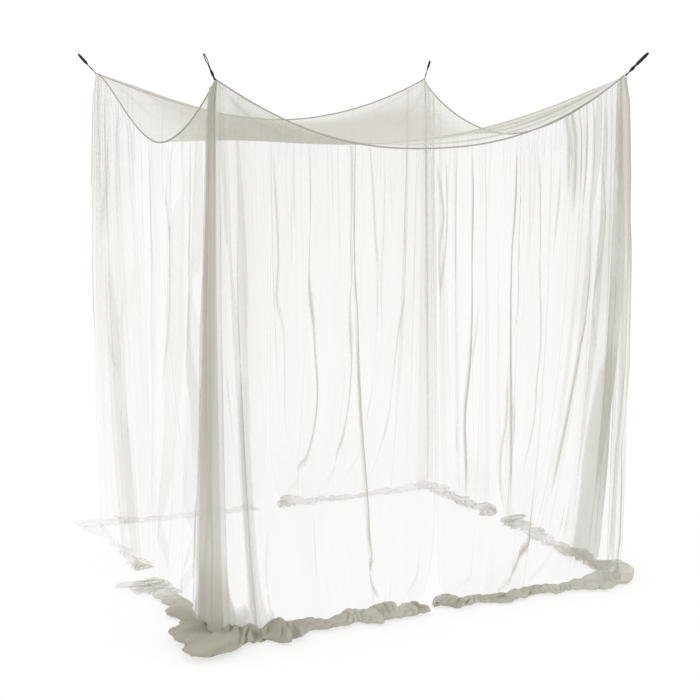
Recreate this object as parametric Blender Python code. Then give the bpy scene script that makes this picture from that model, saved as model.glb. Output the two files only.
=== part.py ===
"""Mosquito net for a gazebo: a sagging roof, four gathered corner walls and four ties.

The net hangs by its corner ties, and its hem lies pooled on the floor. Lengths are in
metres. The shapes are worked out in net coordinates: the floor is z = 0 and the
middle of the footprint is x = y = 0. An empty then moves the whole net so that the
origin is the loop of the front left tie, which is where the net is held.
"""

import math

import bmesh
import bpy
from mathutils import Vector

# Driving dimensions
SHEET = 0.0012            # thickness of the netting's solid
EDGE_GAP = 0.0006         # between the netting's edge and the tape that binds it
TAPE_WIDE = 0.004         # binding tape, folded over the edge
TAPE_HIGH = 0.010
TAPE_STEPS = 32           # straight steps of tape along one side of the net
ROOF_STEPS = 16           # roof squares along one side of the net

# Top corners: name, x, y, height, and where the corner's cloth meets the floor
CORNERS = {
    "back_left": {"top": (-0.934, 0.990, 2.416), "floor": (-0.975, 1.005)},
    "front_left": {"top": (-1.020, -1.026, 2.389), "floor": (-1.055, -1.025)},
    "back_right": {"top": (0.970, 1.006, 2.387), "floor": (0.997, 0.995)},
    "front_right": {"top": (0.985, -0.970, 2.406), "floor": (1.012, -0.990)},
}

# Top edges. sag: how far the edge hangs below its corners; bow: how far it is drawn
# in at the middle; skew: moves the lowest point; power: 2 is a parabola
EDGES = {
    "front": {
        "ends": ("front_left", "front_right"),
        "sag": 0.307, "bow": 0.047, "skew": 0.06, "power": 2.3,
    },
    "back": {
        "ends": ("back_left", "back_right"),
        "sag": 0.229, "bow": 0.115, "skew": 0.03, "power": 1.85,
    },
    "left": {
        "ends": ("back_left", "front_left"),
        "sag": 0.291, "bow": -0.029, "skew": 0.48, "power": 1.8,
    },
    "right": {
        "ends": ("back_right", "front_right"),
        "sag": 0.289, "bow": -0.043, "skew": -0.28, "power": 1.8,
    },
}

# The way in on each side. share: its place along the edge, from the first corner;
# floor: the point of the floor that it hangs towards
WAYS_IN = {
    "front": {"share": 0.528, "floor": (0.045, -0.965)},
    "back": {"share": 0.483, "floor": (-0.010, 0.985)},
    "left": {"share": 0.458, "floor": (-1.000, 0.050)},
    "right": {"share": 0.388, "floor": (1.070, 0.240)},
}
WAY_IN_TOP = 0.006        # between the two walls at the tape
WAY_IN_MIDDLE = 0.030     # more between them where they start to part
WAY_IN_FLARE = 0.13       # height over which they part towards the floor
WAY_IN_POWER = 8.0        # how close to its edge the cloth follows this
HANG_POWER = 1.1          # above 1 the cloth keeps longer under the tape's line

# The roof between its edges
ROOF_BLEND = 4.6          # how sharply the sags of crossing edges meet on the diagonals
ROOF_CREASE = 0.010       # depth of the creases that run from each corner
ROOF_CREASE_REACH = 0.75  # how far they run
ROOF_CREASES = 7          # how many leave a corner

# Walls, each with its two sides from the corner outwards. ends: where the side's edge
# comes down, beside the way in. folds: where each main fold begins, as a share of the
# side's cloth from the corner. deep: folds that stand out, by side and number: how much
# deeper, and how far they lean towards the way in. swing: how far the side's middle
# swings towards the way in at the floor; roll: reach and height of the pooled hem along
# the side; pile: the same beside the way in; heap: the same at the corner, with its
# middle and half width as signed shares of the cloth
WALLS = {
    "back_left": {
        "sides": ("left", "back"), "ends": ((-0.968, 0.285), (-0.120, 0.985)), "seed": 3,
        "folds": (
            (0.0, 0.08, 0.18, 0.32, 0.52, 0.62, 0.82, 1.0),
            (0.0, 0.10, 0.20, 0.34, 0.46, 0.60, 0.78, 1.0),
        ),
        "deep": {(0, 3): (1.2, -0.4), (1, 4): (1.2, -0.3)},
        "swing": (0.36, 0.20),
        "roll": ((0.030, 0.018), (0.042, 0.026)), "pile": ((0.075, 0.055), (0.050, 0.034)),
        "heap": {"reach": 0.16, "high": 0.022, "middle": 0.04, "wide": 0.16},
    },
    "front_left": {
        "sides": ("front", "left"), "ends": ((-0.075, -0.965), (-1.120, -0.270)), "seed": 8,
        "folds": (
            (0.0, 0.08, 0.155, 0.21, 0.43, 0.655, 0.715, 1.0),
            (0.0, 0.08, 0.20, 0.36, 0.41, 0.55, 0.75, 1.0),
        ),
        "deep": {(0, 2): (1.9, -0.9), (0, 5): (1.8, 0.5), (1, 3): (1.6, -0.4)},
        "swing": (0.14, 0.30),
        "roll": ((0.066, 0.058), (0.080, 0.045)), "pile": ((0.072, 0.062), (0.120, 0.060)),
        "heap": {"reach": 0.17, "high": 0.088, "middle": -0.13, "wide": 0.30},
    },
    "back_right": {
        "sides": ("back", "right"), "ends": ((0.105, 0.985), (1.060, 0.375)), "seed": 5,
        "folds": (
            (0.0, 0.17, 0.22, 0.54, 0.59, 0.78, 0.83, 1.0),
            (0.0, 0.06, 0.13, 0.28, 0.35, 0.70, 0.75, 1.0),
        ),
        "deep": {
            (0, 1): (1.6, 0.4), (0, 3): (1.7, 0.4), (0, 5): (1.8, 0.5),
            (1, 3): (1.4, 0.3), (1, 5): (1.7, -0.4),
        },
        "swing": (0.16, 0.05),
        "roll": ((0.045, 0.030), (0.050, 0.034)), "pile": ((0.070, 0.048), (0.080, 0.062)),
        "heap": {"reach": 0.07, "high": 0.036, "middle": 0.05, "wide": 0.22},
    },
    "front_right": {
        "sides": ("right", "front"), "ends": ((1.085, 0.115), (0.078, -0.955)), "seed": 12,
        "folds": (
            (0.0, 0.12, 0.22, 0.33, 0.39, 0.86, 0.92, 1.0),
            (0.0, 0.06, 0.13, 0.25, 0.50, 0.56, 0.80, 1.0),
        ),
        "deep": {(0, 1): (1.5, -0.6), (0, 3): (1.7, 0.4), (0, 5): (1.7, 0.4), (1, 4): (1.6, -0.5)},
        "swing": (0.38, 0.16),
        "roll": ((0.058, 0.048), (0.060, 0.048)), "pile": ((0.075, 0.056), (0.066, 0.060)),
        "heap": {"reach": 0.050, "high": 0.072, "middle": 0.08, "wide": 0.26},
    },
}
# Where a fold up to this wide, as a share of the cloth, has its columns
FOLD_COLUMNS = (
    (0.075, (0.20, 0.50, 0.80)),
    (0.28, (0.16, 0.36, 0.64, 0.86)),
    (1.00, (0.10, 0.26, 0.42, 0.58, 0.74, 0.90)),
)
FOLD_DEEPEST = 0.036      # half depth that a wide fold keeps to
DEPTH_UNEVEN = 0.35       # how much their depths differ
FULLNESS = 1.42           # cloth sewn on, against the side that it covers
BUNCH = 1.36              # above 1 the cloth crowds towards the corner
SWING_PEAK = 0.8          # below 1 the side's swing is greatest nearer the corner
GATHER_TOP = 0.004        # half depth of the folds under the tape
CORNER_TURN = 0.16        # share of a wall's side over which it turns the corner
CORNER_FULL = (0.04, 0.30)   # shares between which a corner's crowding of the folds ends
CORNER_LOWER = 0.0036     # a wall starts this much lower under the tape's corner
CORNER_REACH = 0.30       # share of the cloth over which that ends
BEND_SPAN = 0.033         # share of a side that a wall's widest step covers

# Heights down a wall, as shares of the drop, and how full the folds are there
WALL_ROWS = (
    {"share": 0.00, "full": 0.00},
    {"share": 0.05, "full": 0.45},
    {"share": 0.42, "full": 1.00},
    {"share": 0.80, "full": 1.00},
    {"share": 1.00, "full": 0.75},
)

# Back-and-forth section of the pooled hem. out: share of its reach, outwards when
# positive; high: share of its height; full: how full the wall's folds still are
POOL_ROWS = (
    {"out": 0.34, "high": 1.00, "full": 0.60},
    {"out": 0.86, "high": 0.84, "full": 0.50},
    {"out": 1.00, "high": 0.62, "full": 0.45},
    {"out": 0.60, "high": 0.50, "full": 0.40},
    {"out": -0.42, "high": 0.50, "full": 0.35},
    {"out": -0.78, "high": 0.37, "full": 0.30},
    {"out": -0.42, "high": 0.24, "full": 0.30},
    {"out": 0.58, "high": 0.20, "full": 0.30},
    {"out": 0.92, "high": 0.06, "full": 0.30},
)
FOOT_ABOVE = 1.5          # a wall's foot over its pool, in heights of the pool
POOL_UNEVEN = 0.30        # how much the pool's reach and height change along it
ROW_UNEVEN = 0.05         # how much its layers change against each other
POOL_SPREAD = 0.050       # how far its ends spread into the way in
SPREAD_NONE = 1.1         # shares of its height between which that comes in
SPREAD_FULL = 0.6
PILE_FROM = 0.70          # shares of the cloth between which the roll grows to the pile
PILE_FULL = 0.92

# Corner ties: two strands twisted together, opening into a loop
TIE_LENGTH = 0.142
TIE_RISE = 45.0           # degrees above level, outwards from the corner
TIE_STRAND = 0.0034       # radius of a strand
TIE_KNOT = 0.0042         # its radius where it is knotted to the corner
TIE_KNOT_LONG = 0.016
TIE_APART = 1.12          # between the strands' middles, in widths of a strand
TIE_LOOP_LONG = 0.056     # of the open loop
TIE_LOOP_HALF = 0.0125    # from the tie's middle to a strand's middle, at the widest
TIE_LOOP_FORM = 0.8       # below 1 the loop is widest nearer the knot
TIE_TURNS = 1.0
TIE_STEPS = 24            # along one strand
TIE_SIDES = 6
TIE_FROM_CORNER = 0.0074  # from the edges' corner to the knot's middle

NET_COLOUR = (0.90, 0.88, 0.81, 1.0)
TAPE_COLOUR = (0.62, 0.60, 0.54, 1.0)
TIE_COLOUR = (0.012, 0.012, 0.012, 1.0)


def mix(a, b, share):
    """Value between a and b."""
    return a + (b - a) * share


def soft_step(low, high, value):
    """0 below low, 1 above high, with a smooth way between."""
    share = min(max((value - low) / (high - low), 0.0), 1.0)
    return share * share * (3.0 - 2.0 * share)


def uneven(place, seed):
    """Smooth wandering value from about -1 to 1."""
    slow = math.sin(2.3 * place + 1.7 * seed)
    middle = math.sin(6.1 * place + 0.9 * seed)
    quick = math.sin(13.7 * place + 2.3 * seed)
    return 0.5 * slow + 0.3 * middle + 0.2 * quick


def clear_scene():
    """Remove every object, so that the file holds only the net."""
    for old in list(bpy.data.objects):
        bpy.data.objects.remove(old, do_unlink=True)


def plain_material(name, colour, roughness):
    """Principled material in one colour."""
    material = bpy.data.materials.new(name)
    material.use_nodes = True
    shader = material.node_tree.nodes["Principled BSDF"]
    shader.inputs["Base Color"].default_value = colour
    shader.inputs["Roughness"].default_value = roughness
    shader.inputs["Metallic"].default_value = 0.0
    material.diffuse_color = colour
    return material


def make_object(name, shape, material, parent):
    """Turn a bmesh into a named object under the net's empty."""
    mesh = bpy.data.meshes.new(name)
    shape.to_mesh(mesh)
    shape.free()
    mesh.materials.append(material)
    mesh.shade_smooth()
    mesh.set_sharp_from_angle(angle=math.radians(50.0))
    thing = bpy.data.objects.new(name, mesh)
    thing.parent = parent
    bpy.context.scene.collection.objects.link(thing)
    return thing


def thicken(thing):
    """Give a sheet of netting its thickness, half to each side."""
    solid = thing.modifiers.new("thickness", "SOLIDIFY")
    solid.thickness = SHEET
    solid.offset = 0.0


def corner_top(name):
    """Top corner of the net."""
    return Vector(CORNERS[name]["top"])


def sag_shape(edge, share):
    """Share of an edge's full sag at a place along it."""
    drawn = share ** (2.0 ** edge["skew"])
    return 1.0 - abs(2.0 * drawn - 1.0) ** edge["power"]


def true_edge_point(name, share):
    """Point of a hanging top edge, from its first corner (0) to its second (1)."""
    edge = EDGES[name]
    start, end = (corner_top(corner) for corner in edge["ends"])
    point = start.lerp(end, share)
    inwards = -0.5 * (start + end)
    inwards.z = 0.0
    point += inwards.normalized() * (edge["bow"] * sag_shape(edge, share))
    point.z -= edge["sag"] * sag_shape(edge, share)
    return point


def edge_point(name, share):
    """The same point on the tape's straight steps, so that all pieces meet it alike."""
    step = min(int(share * TAPE_STEPS), TAPE_STEPS - 1)
    start = true_edge_point(name, step / TAPE_STEPS)
    end = true_edge_point(name, (step + 1) / TAPE_STEPS)
    return start.lerp(end, share * TAPE_STEPS - step)


def tape_bend(name, share):
    """How far a straight step of a wall's top edge would rise above the bending tape."""
    low = edge_point(name, max(share - BEND_SPAN, 0.0)).z
    high = edge_point(name, min(share + BEND_SPAN, 1.0)).z
    return max(0.5 * (low + high) - edge_point(name, share).z, 0.0)


def tape_ring():
    """Stations of the binding all round the net, seen from above anticlockwise."""
    ring = []
    for name, forwards in (("front", True), ("right", False), ("back", False), ("left", True)):
        for step in range(TAPE_STEPS):
            share = step / TAPE_STEPS
            ring.append(true_edge_point(name, share if forwards else 1.0 - share))
    return ring


def mitre(before, here, after):
    """Outward direction in plan at a corner of a ring, long enough for a mitred joint."""
    sides = []
    for start, end in ((before, here), (here, after)):
        along = (end - start).to_2d().normalized()
        sides.append(Vector((along.y, -along.x)))
    outward = (sides[0] + sides[1]).normalized()
    outward /= max(outward.dot(sides[0]), 0.2)
    return outward.to_3d()


def make_binding(material, parent):
    """Tape folded over the whole top edge, as one closed ring of square section."""
    ring = tape_ring()
    shape = bmesh.new()
    sections = []
    for index, here in enumerate(ring):
        outward = mitre(ring[index - 1], here, ring[(index + 1) % len(ring)])
        section = []
        for across, up in ((-0.5, -0.5), (0.5, -0.5), (0.5, 0.5), (-0.5, 0.5)):
            place = here + outward * (across * TAPE_WIDE) + Vector((0.0, 0.0, up * TAPE_HIGH))
            section.append(shape.verts.new(place))
        sections.append(section)
    for index, section in enumerate(sections):
        following = sections[(index + 1) % len(sections)]
        for side in range(4):
            after = (side + 1) % 4
            shape.faces.new((section[side], section[after], following[after], following[side]))
    bmesh.ops.recalc_face_normals(shape, faces=shape.faces)
    return make_object("top_binding", shape, material, parent)


def roof_point(across, back):
    """Point of the roof: across runs left to right, back runs front to back, 0 to 1."""
    front = edge_point("front", across)
    rear = edge_point("back", across)
    left = edge_point("left", 1.0 - back)
    right = edge_point("right", 1.0 - back)
    corners = mix(
        corner_top("front_left").lerp(corner_top("front_right"), across),
        corner_top("back_left").lerp(corner_top("back_right"), across),
        back,
    )
    point = front.lerp(rear, back) + left.lerp(right, across) - corners
    sag_across = mix(
        EDGES["front"]["sag"] * sag_shape(EDGES["front"], across),
        EDGES["back"]["sag"] * sag_shape(EDGES["back"], across),
        back,
    )
    sag_back = mix(
        EDGES["left"]["sag"] * sag_shape(EDGES["left"], 1.0 - back),
        EDGES["right"]["sag"] * sag_shape(EDGES["right"], 1.0 - back),
        across,
    )
    blended = (sag_across ** ROOF_BLEND + sag_back ** ROOF_BLEND) ** (1.0 / ROOF_BLEND)
    on_edge = min(across, 1.0 - across, back, 1.0 - back) <= 0.0
    if not on_edge:
        point.z = corners.z - blended + roof_crease(across, back)
    return point


def roof_crease(across, back):
    """Height of the creases that fan out over the roof from its four corners."""
    height = 0.0
    for number, (corner_across, corner_back) in enumerate(((0, 0), (1, 0), (0, 1), (1, 1))):
        run = abs(across - corner_across)
        rise = abs(back - corner_back)
        reach = math.hypot(run, rise) * 2.0
        turn = math.atan2(rise, run) / (0.5 * math.pi)
        fan = math.sin(2.0 * math.pi * ROOF_CREASES * turn / 2.0 + 1.3 * number)
        fade = soft_step(0.05, 0.3, reach) * (1.0 - soft_step(0.3, 2.0 * ROOF_CREASE_REACH, reach))
        height += ROOF_CREASE * fan * fade * math.sin(math.pi * turn)
    return height


def make_roof(material, parent):
    """One sheet inside the binding, sagging from its four corners."""
    shape = bmesh.new()
    bmesh.ops.create_grid(shape, x_segments=ROOF_STEPS, y_segments=ROOF_STEPS, size=0.5)
    ring = tape_ring()
    inset = 0.5 * TAPE_WIDE + EDGE_GAP
    for vertex in shape.verts:
        across = vertex.co.x + 0.5
        back = vertex.co.y + 0.5
        point = roof_point(across, back)
        if min(across, 1.0 - across, back, 1.0 - back) < 0.001:
            index = min(range(len(ring)), key=lambda i: (ring[i] - point).length)
            outward = mitre(ring[index - 1], ring[index], ring[(index + 1) % len(ring)])
            point = ring[index] - outward * inset
        vertex.co = point
    sheet = make_object("roof_sheet", shape, material, parent)
    thicken(sheet)
    return sheet


def fold_place(starts, cloth):
    """Which fold a share of the cloth is in, how far through it, and the fold's width."""
    fold = 0
    while fold < len(starts) - 2 and cloth > starts[fold + 1]:
        fold += 1
    width = starts[fold + 1] - starts[fold]
    return fold, (cloth - starts[fold]) / width, width


def wall_side(wall, cloth):
    """Side that signed cloth lies on: its number, its edge and where its folds begin."""
    number = 0 if cloth < 0.0 else 1
    return number, wall["sides"][number], wall["folds"][number]


def side_run(wall, number, amount, drop):
    """How far along its side a share of the cloth hangs, at a share of the drop."""
    swing = wall["swing"][number] * drop ** 2.0
    return amount ** BUNCH + swing * math.sin(math.pi * amount ** SWING_PEAK)


def outward_at(wall, cloth):
    """Level direction out of the net, turning smoothly round the corner."""
    sides = []
    for name in wall["sides"]:
        start, end = (corner_top(end) for end in EDGES[name]["ends"])
        along = (end - start).to_2d().normalized()
        square = Vector((along.y, -along.x))
        if square.dot((0.5 * (start + end)).to_2d()) < 0.0:
            square.negate()
        sides.append(square)
    turn = soft_step(-CORNER_TURN, CORNER_TURN, cloth)
    return sides[0].lerp(sides[1], turn).normalized().to_3d()


def wall_base(corner, wall, cloth, drop):
    """Point of a wall before its folds. drop is 0 at the tape and 1 at the floor."""
    number, name, _ = wall_side(wall, cloth)
    amount = abs(cloth)
    run = side_run(wall, number, amount, drop)
    edge = EDGES[name]
    way_in = WAYS_IN[name]
    from_start = edge["ends"][0] == corner
    share = way_in["share"] if from_start else 1.0 - way_in["share"]
    length = (corner_top(edge["ends"][0]) - corner_top(edge["ends"][1])).length
    along = (share - 0.5 * WAY_IN_TOP / length) * run
    place = along if from_start else 1.0 - along
    top = edge_point(name, place)
    floor_corner = Vector(CORNERS[corner]["floor"])
    floor = floor_corner.lerp(Vector(way_in["floor"]), run).to_3d()
    point = top.lerp(floor, drop ** HANG_POWER)
    lower = 0.5 * TAPE_HIGH + EDGE_GAP
    lower += CORNER_LOWER * (1.0 - soft_step(0.0, CORNER_REACH, amount))
    lower += tape_bend(name, place)
    point.z = (top.z - lower) * (1.0 - drop)
    middle = Vector(way_in["floor"])
    apart = (Vector(wall["ends"][number]) - middle) * math.exp(-point.z / WAY_IN_FLARE)
    apart += (floor_corner - middle).normalized() * (0.5 * WAY_IN_MIDDLE * drop)
    return point + apart.to_3d() * amount ** WAY_IN_POWER


def fold_depth(corner, wall, cloth, drop):
    """Half depth of a fold, from the cloth that its share of the side leaves over."""
    number, name, starts = wall_side(wall, cloth)
    fold, _, width = fold_place(starts, abs(cloth))
    side = (Vector(WAYS_IN[name]["floor"]) - Vector(CORNERS[corner]["floor"])).length
    start, end = (side_run(wall, number, starts[fold + step], drop) for step in (0, 1))
    pitch = side * (end - start)
    cloth_width = side * width * FULLNESS
    spare = cloth_width ** 2 - min(pitch, 0.97 * cloth_width) ** 2
    uneven_depth = 1.0 + DEPTH_UNEVEN * math.sin(2.4 * fold + wall["seed"] + number)
    return min(0.25 * math.sqrt(spare), FOLD_DEEPEST) * uneven_depth


def fold_shift(corner, wall, cloth, drop):
    """How a fold stands out of its wall: outwards, and along the side if it leans."""
    number, _, starts = wall_side(wall, cloth)
    fold, phase, _ = fold_place(starts, abs(cloth))
    depth = fold_depth(corner, wall, cloth, drop)
    deeper, lean = wall["deep"].get((number, fold), (1.0, 0.0))
    crown = math.sin(2.0 * math.pi * phase)
    at_corner = 1.0 - soft_step(*CORNER_FULL, abs(cloth))
    if crown > 0.0:
        depth *= deeper
    return depth * (crown + at_corner), lean * depth * max(crown, 0.0)


def wall_columns(wall):
    """Signed shares of the cloth where a wall has a column."""
    columns = [0.0]
    for number, sign in ((0, -1.0), (1, 1.0)):
        starts = wall["folds"][number]
        for start, end in zip(starts, starts[1:]):
            phases = next(phases for widest, phases in FOLD_COLUMNS if end - start <= widest)
            columns.extend(sign * mix(start, end, phase) for phase in phases)
        columns.append(sign)
    return sorted(columns)


def pool_size(wall, cloth):
    """Reach and height of the pooled hem at a share of a wall's cloth."""
    number = 0 if cloth < 0.0 else 1
    heap = wall["heap"]
    at_end = soft_step(PILE_FROM, PILE_FULL, abs(cloth))
    at_heap = 1.0 - soft_step(0.25 * heap["wide"], heap["wide"], abs(cloth - heap["middle"]))
    sizes = []
    for index, (key, quick) in enumerate((("reach", 4.0), ("high", 5.0))):
        size = mix(wall["roll"][number][index], wall["pile"][number][index], at_end)
        size = mix(size, heap[key], at_heap)
        wander = uneven(quick * cloth, wall["seed"] + 5 * index)
        sizes.append(size * (1.0 + POOL_UNEVEN * wander))
    return sizes


def wall_point(corner, wall, cloth, row):
    """Point of a wall. The first rows hang, and the rest lie in the pooled hem."""
    seed = wall["seed"]
    reach, high = pool_size(wall, cloth)
    outward = outward_at(wall, cloth)
    towards_way_in = Vector((outward.y, -outward.x, 0.0))
    if row < len(WALL_ROWS):
        line = WALL_ROWS[row]
        top = wall_base(corner, wall, cloth, 0.0).z
        drop = line["share"] * (1.0 - FOOT_ABOVE * high / top)
        point = wall_base(corner, wall, cloth, drop)
        out, along = fold_shift(corner, wall, cloth, drop)
        gathered = GATHER_TOP * math.copysign(1.0, out) * (1.0 - line["full"])
        point += outward * (out * line["full"] + gathered)
        return point + towards_way_in * (along * line["full"] * math.copysign(1.0, cloth))
    line = POOL_ROWS[row - len(WALL_ROWS)]
    point = wall_base(corner, wall, cloth, 1.0)
    shift, _ = fold_shift(corner, wall, cloth, 1.0)
    out = line["out"] * (1.0 + 2.0 * ROW_UNEVEN * uneven(7.0 * cloth, seed + row))
    inner = soft_step(0.02, 0.25, abs(cloth))
    out = out if out > 0.0 else out * inner
    layer = line["high"] + ROW_UNEVEN * uneven(6.0 * cloth, seed + 2 * row)
    point += outward * (shift * line["full"] + out * reach)
    spread = POOL_SPREAD * soft_step(PILE_FROM, 1.0, abs(cloth)) * math.copysign(1.0, cloth)
    point += towards_way_in * (spread * soft_step(SPREAD_NONE, SPREAD_FULL, line["high"]))
    point.z = 0.5 * SHEET + 0.0003 + max(layer, 0.0) * high
    return point


def make_wall(corner, material, parent):
    """A length of netting gathered round a corner, its hem pooled on the floor."""
    wall = WALLS[corner]
    columns = wall_columns(wall)
    rows = len(WALL_ROWS) + len(POOL_ROWS)
    shape = bmesh.new()
    bmesh.ops.create_grid(shape, x_segments=len(columns) - 1, y_segments=rows - 1, size=0.5)
    for vertex in shape.verts:
        column = round((vertex.co.x + 0.5) * (len(columns) - 1))
        row = round((0.5 - vertex.co.y) * (rows - 1))
        vertex.co = wall_point(corner, wall, columns[column], row)
    sheet = make_object("wall_panel_" + corner, shape, material, parent)
    thicken(sheet)
    return sheet


def tie_frame(corner):
    """Start of a corner's tie and its directions: along it, across it, and square to both."""
    top = corner_top(corner)
    outward = Vector((math.copysign(1.0, top.x), math.copysign(1.0, top.y), 0.0)).normalized()
    up = Vector((0.0, 0.0, 1.0))
    rise = math.radians(TIE_RISE)
    along = outward * math.cos(rise) + up * math.sin(rise)
    across = up.cross(outward)
    start = top + outward * TIE_FROM_CORNER
    return start, along, across, along.cross(across)


def tie_middle(corner, length):
    """Point on the middle line of a tie."""
    start, along, _, _ = tie_frame(corner)
    return start + along * length


def tie_radius(length):
    """Radius of a strand at a length along the tie."""
    return mix(TIE_KNOT, TIE_STRAND, soft_step(0.0, TIE_KNOT_LONG, length))


def tie_strand(corner, side, length):
    """Middle of one strand, on side -1 or 1, at a length along the tie from its knot."""
    _, _, across, square = tie_frame(corner)
    twisted = TIE_LENGTH - TIE_LOOP_LONG
    beside = TIE_APART * tie_radius(length)
    in_loop = max(length - twisted, 0.0) / TIE_LOOP_LONG
    opened = math.sin(math.pi * in_loop ** TIE_LOOP_FORM)
    to_end = min(length, TIE_LENGTH - length, beside) / beside
    apart = beside * math.sqrt(1.0 - (1.0 - to_end) ** 2) + (TIE_LOOP_HALF - beside) * opened
    twist = 2.0 * math.pi * TIE_TURNS * (1.0 - min(length / twisted, 1.0))
    turned = across * math.cos(twist) + square * math.sin(twist)
    return tie_middle(corner, length) + turned * (side * apart)


def make_tie(corner, material, parent):
    """Two strands twisted together from a knot, opening into a loop, as one closed ring."""
    path = []
    radii = []
    for side, order in ((-1.0, range(TIE_STEPS)), (1.0, range(TIE_STEPS, 0, -1))):
        for step in order:
            length = TIE_LENGTH * (0.5 - 0.5 * math.cos(math.pi * step / TIE_STEPS))
            path.append(tie_strand(corner, side, length))
            radii.append(tie_radius(length))
    shape = bmesh.new()
    sections = []
    count = len(path)
    side_way = None
    for index, here in enumerate(path):
        to_here = (here - path[index - 1]).normalized()
        from_here = (path[(index + 1) % count] - here).normalized()
        forwards = (to_here + from_here).normalized()
        if side_way is None:
            side_way = forwards.orthogonal()
        side_way = (side_way - forwards * side_way.dot(forwards)).normalized()
        other_way = forwards.cross(side_way)
        section = []
        for side in range(TIE_SIDES):
            turn = 2.0 * math.pi * side / TIE_SIDES
            offset = side_way * math.cos(turn) + other_way * math.sin(turn)
            section.append(shape.verts.new(here + offset * radii[index]))
        sections.append(section)
    for index, section in enumerate(sections[:-1]):
        join_rings(shape, section, sections[index + 1], 0)
    closest = min(range(TIE_SIDES), key=lambda i: (sections[0][i].co - sections[-1][0].co).length)
    join_rings(shape, sections[-1], sections[0], closest)
    bmesh.ops.recalc_face_normals(shape, faces=shape.faces)
    return make_object("corner_tie_" + corner, shape, material, parent)


def join_rings(shape, ring, following, turn):
    """Faces between two rings of vertices, the second turned by some vertices."""
    count = len(ring)
    for side in range(count):
        after = (side + 1) % count
        shape.faces.new((
            ring[side],
            ring[after],
            following[(after + turn) % count],
            following[(side + turn) % count],
        ))


def loop_centre(corner):
    """Middle of the open loop at the end of a tie."""
    return tie_middle(corner, TIE_LENGTH - 0.5 * TIE_LOOP_LONG)


def main():
    clear_scene()
    net = plain_material("cream_netting", NET_COLOUR, 0.85)
    tape = plain_material("binding_tape", TAPE_COLOUR, 0.80)
    black = plain_material("black_tie", TIE_COLOUR, 0.60)
    frame = bpy.data.objects.new("net_frame", None)
    frame.location = -loop_centre("front_left")
    bpy.context.scene.collection.objects.link(frame)
    make_roof(net, frame)
    make_binding(tape, frame)
    for corner in CORNERS:
        make_wall(corner, net, frame)
        make_tie(corner, black, frame)


main()
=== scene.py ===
# %% [markdown]
# # A mosquito net for a gazebo
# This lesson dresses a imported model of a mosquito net. The net has a roof that sags between
# its four corners, four lengths of netting that are gathered round the corners and hang down
# to the floor, a tape that binds the top edge, and a black cord tie at each corner.
# Netting is hard to model thread by thread, because a wall of it has millions of holes.
# It could be one flat, half clear sheet, but what the eye reads in a net is where the cloth
# crowds together: pleats, creases and the heap on the floor. So each sheet is bent into its
# folds, and each point of it remembers how much cloth is gathered there.

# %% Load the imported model
import math

import bmesh
import bpy
import numpy as np
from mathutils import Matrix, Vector


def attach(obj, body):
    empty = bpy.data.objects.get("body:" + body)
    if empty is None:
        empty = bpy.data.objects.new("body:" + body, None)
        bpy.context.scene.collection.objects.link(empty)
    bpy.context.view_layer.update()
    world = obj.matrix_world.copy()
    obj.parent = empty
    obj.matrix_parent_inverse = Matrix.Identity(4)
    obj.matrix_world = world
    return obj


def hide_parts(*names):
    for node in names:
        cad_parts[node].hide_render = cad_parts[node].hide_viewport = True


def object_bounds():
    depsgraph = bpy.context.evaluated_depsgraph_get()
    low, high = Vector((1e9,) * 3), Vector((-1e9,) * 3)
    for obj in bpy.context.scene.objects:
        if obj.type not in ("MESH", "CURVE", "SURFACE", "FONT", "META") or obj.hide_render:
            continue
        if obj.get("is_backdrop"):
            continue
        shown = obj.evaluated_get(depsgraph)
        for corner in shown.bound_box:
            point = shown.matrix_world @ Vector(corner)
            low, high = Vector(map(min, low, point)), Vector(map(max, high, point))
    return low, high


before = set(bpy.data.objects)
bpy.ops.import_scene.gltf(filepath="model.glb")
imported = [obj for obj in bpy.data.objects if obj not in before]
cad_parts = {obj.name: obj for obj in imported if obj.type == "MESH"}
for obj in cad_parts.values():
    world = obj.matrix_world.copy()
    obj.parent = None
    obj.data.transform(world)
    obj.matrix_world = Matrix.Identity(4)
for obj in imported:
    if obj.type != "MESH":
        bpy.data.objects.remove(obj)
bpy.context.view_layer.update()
print("solids:", sorted(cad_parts))

# %% [markdown]
# ## Where the net hangs
# The sizes below are the net's own: four top corners, four sagging top edges between them,
# and a way in on each side, where two lengths of netting meet. They are in metres, with the
# floor at z = 0. The model is held by the loop of its front left tie, so that loop is the
# origin of the scene, and every point is moved there at the end by one subtraction.

# %% The net's main sizes
CORNERS = {
    "back_left": {"top": (-0.934, 0.990, 2.416), "floor": (-0.975, 1.005)},
    "front_left": {"top": (-1.020, -1.026, 2.389), "floor": (-1.055, -1.025)},
    "back_right": {"top": (0.970, 1.006, 2.387), "floor": (0.997, 0.995)},
    "front_right": {"top": (0.985, -0.970, 2.406), "floor": (1.012, -0.990)},
}
# sag: how far an edge hangs; bow: how far it is drawn in; skew: which way its lowest point
# lies; power: how broad the bottom of its curve is
EDGES = {
    "front": {
        "ends": ("front_left", "front_right"),
        "sag": 0.307, "bow": 0.047, "skew": 0.06, "power": 2.3,
    },
    "back": {
        "ends": ("back_left", "back_right"),
        "sag": 0.229, "bow": 0.115, "skew": 0.03, "power": 1.85,
    },
    "left": {
        "ends": ("back_left", "front_left"),
        "sag": 0.291, "bow": -0.029, "skew": 0.48, "power": 1.8,
    },
    "right": {
        "ends": ("back_right", "front_right"),
        "sag": 0.289, "bow": -0.043, "skew": -0.28, "power": 1.8,
    },
}
WAYS_IN = {
    "front": {"share": 0.528, "floor": (0.045, -0.965)},
    "back": {"share": 0.483, "floor": (-0.010, 0.985)},
    "left": {"share": 0.458, "floor": (-1.000, 0.050)},
    "right": {"share": 0.388, "floor": (1.070, 0.240)},
}
TIE_LENGTH = 0.142
TIE_LOOP_LONG = 0.056
TIE_RISE = math.radians(45.0)
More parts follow.
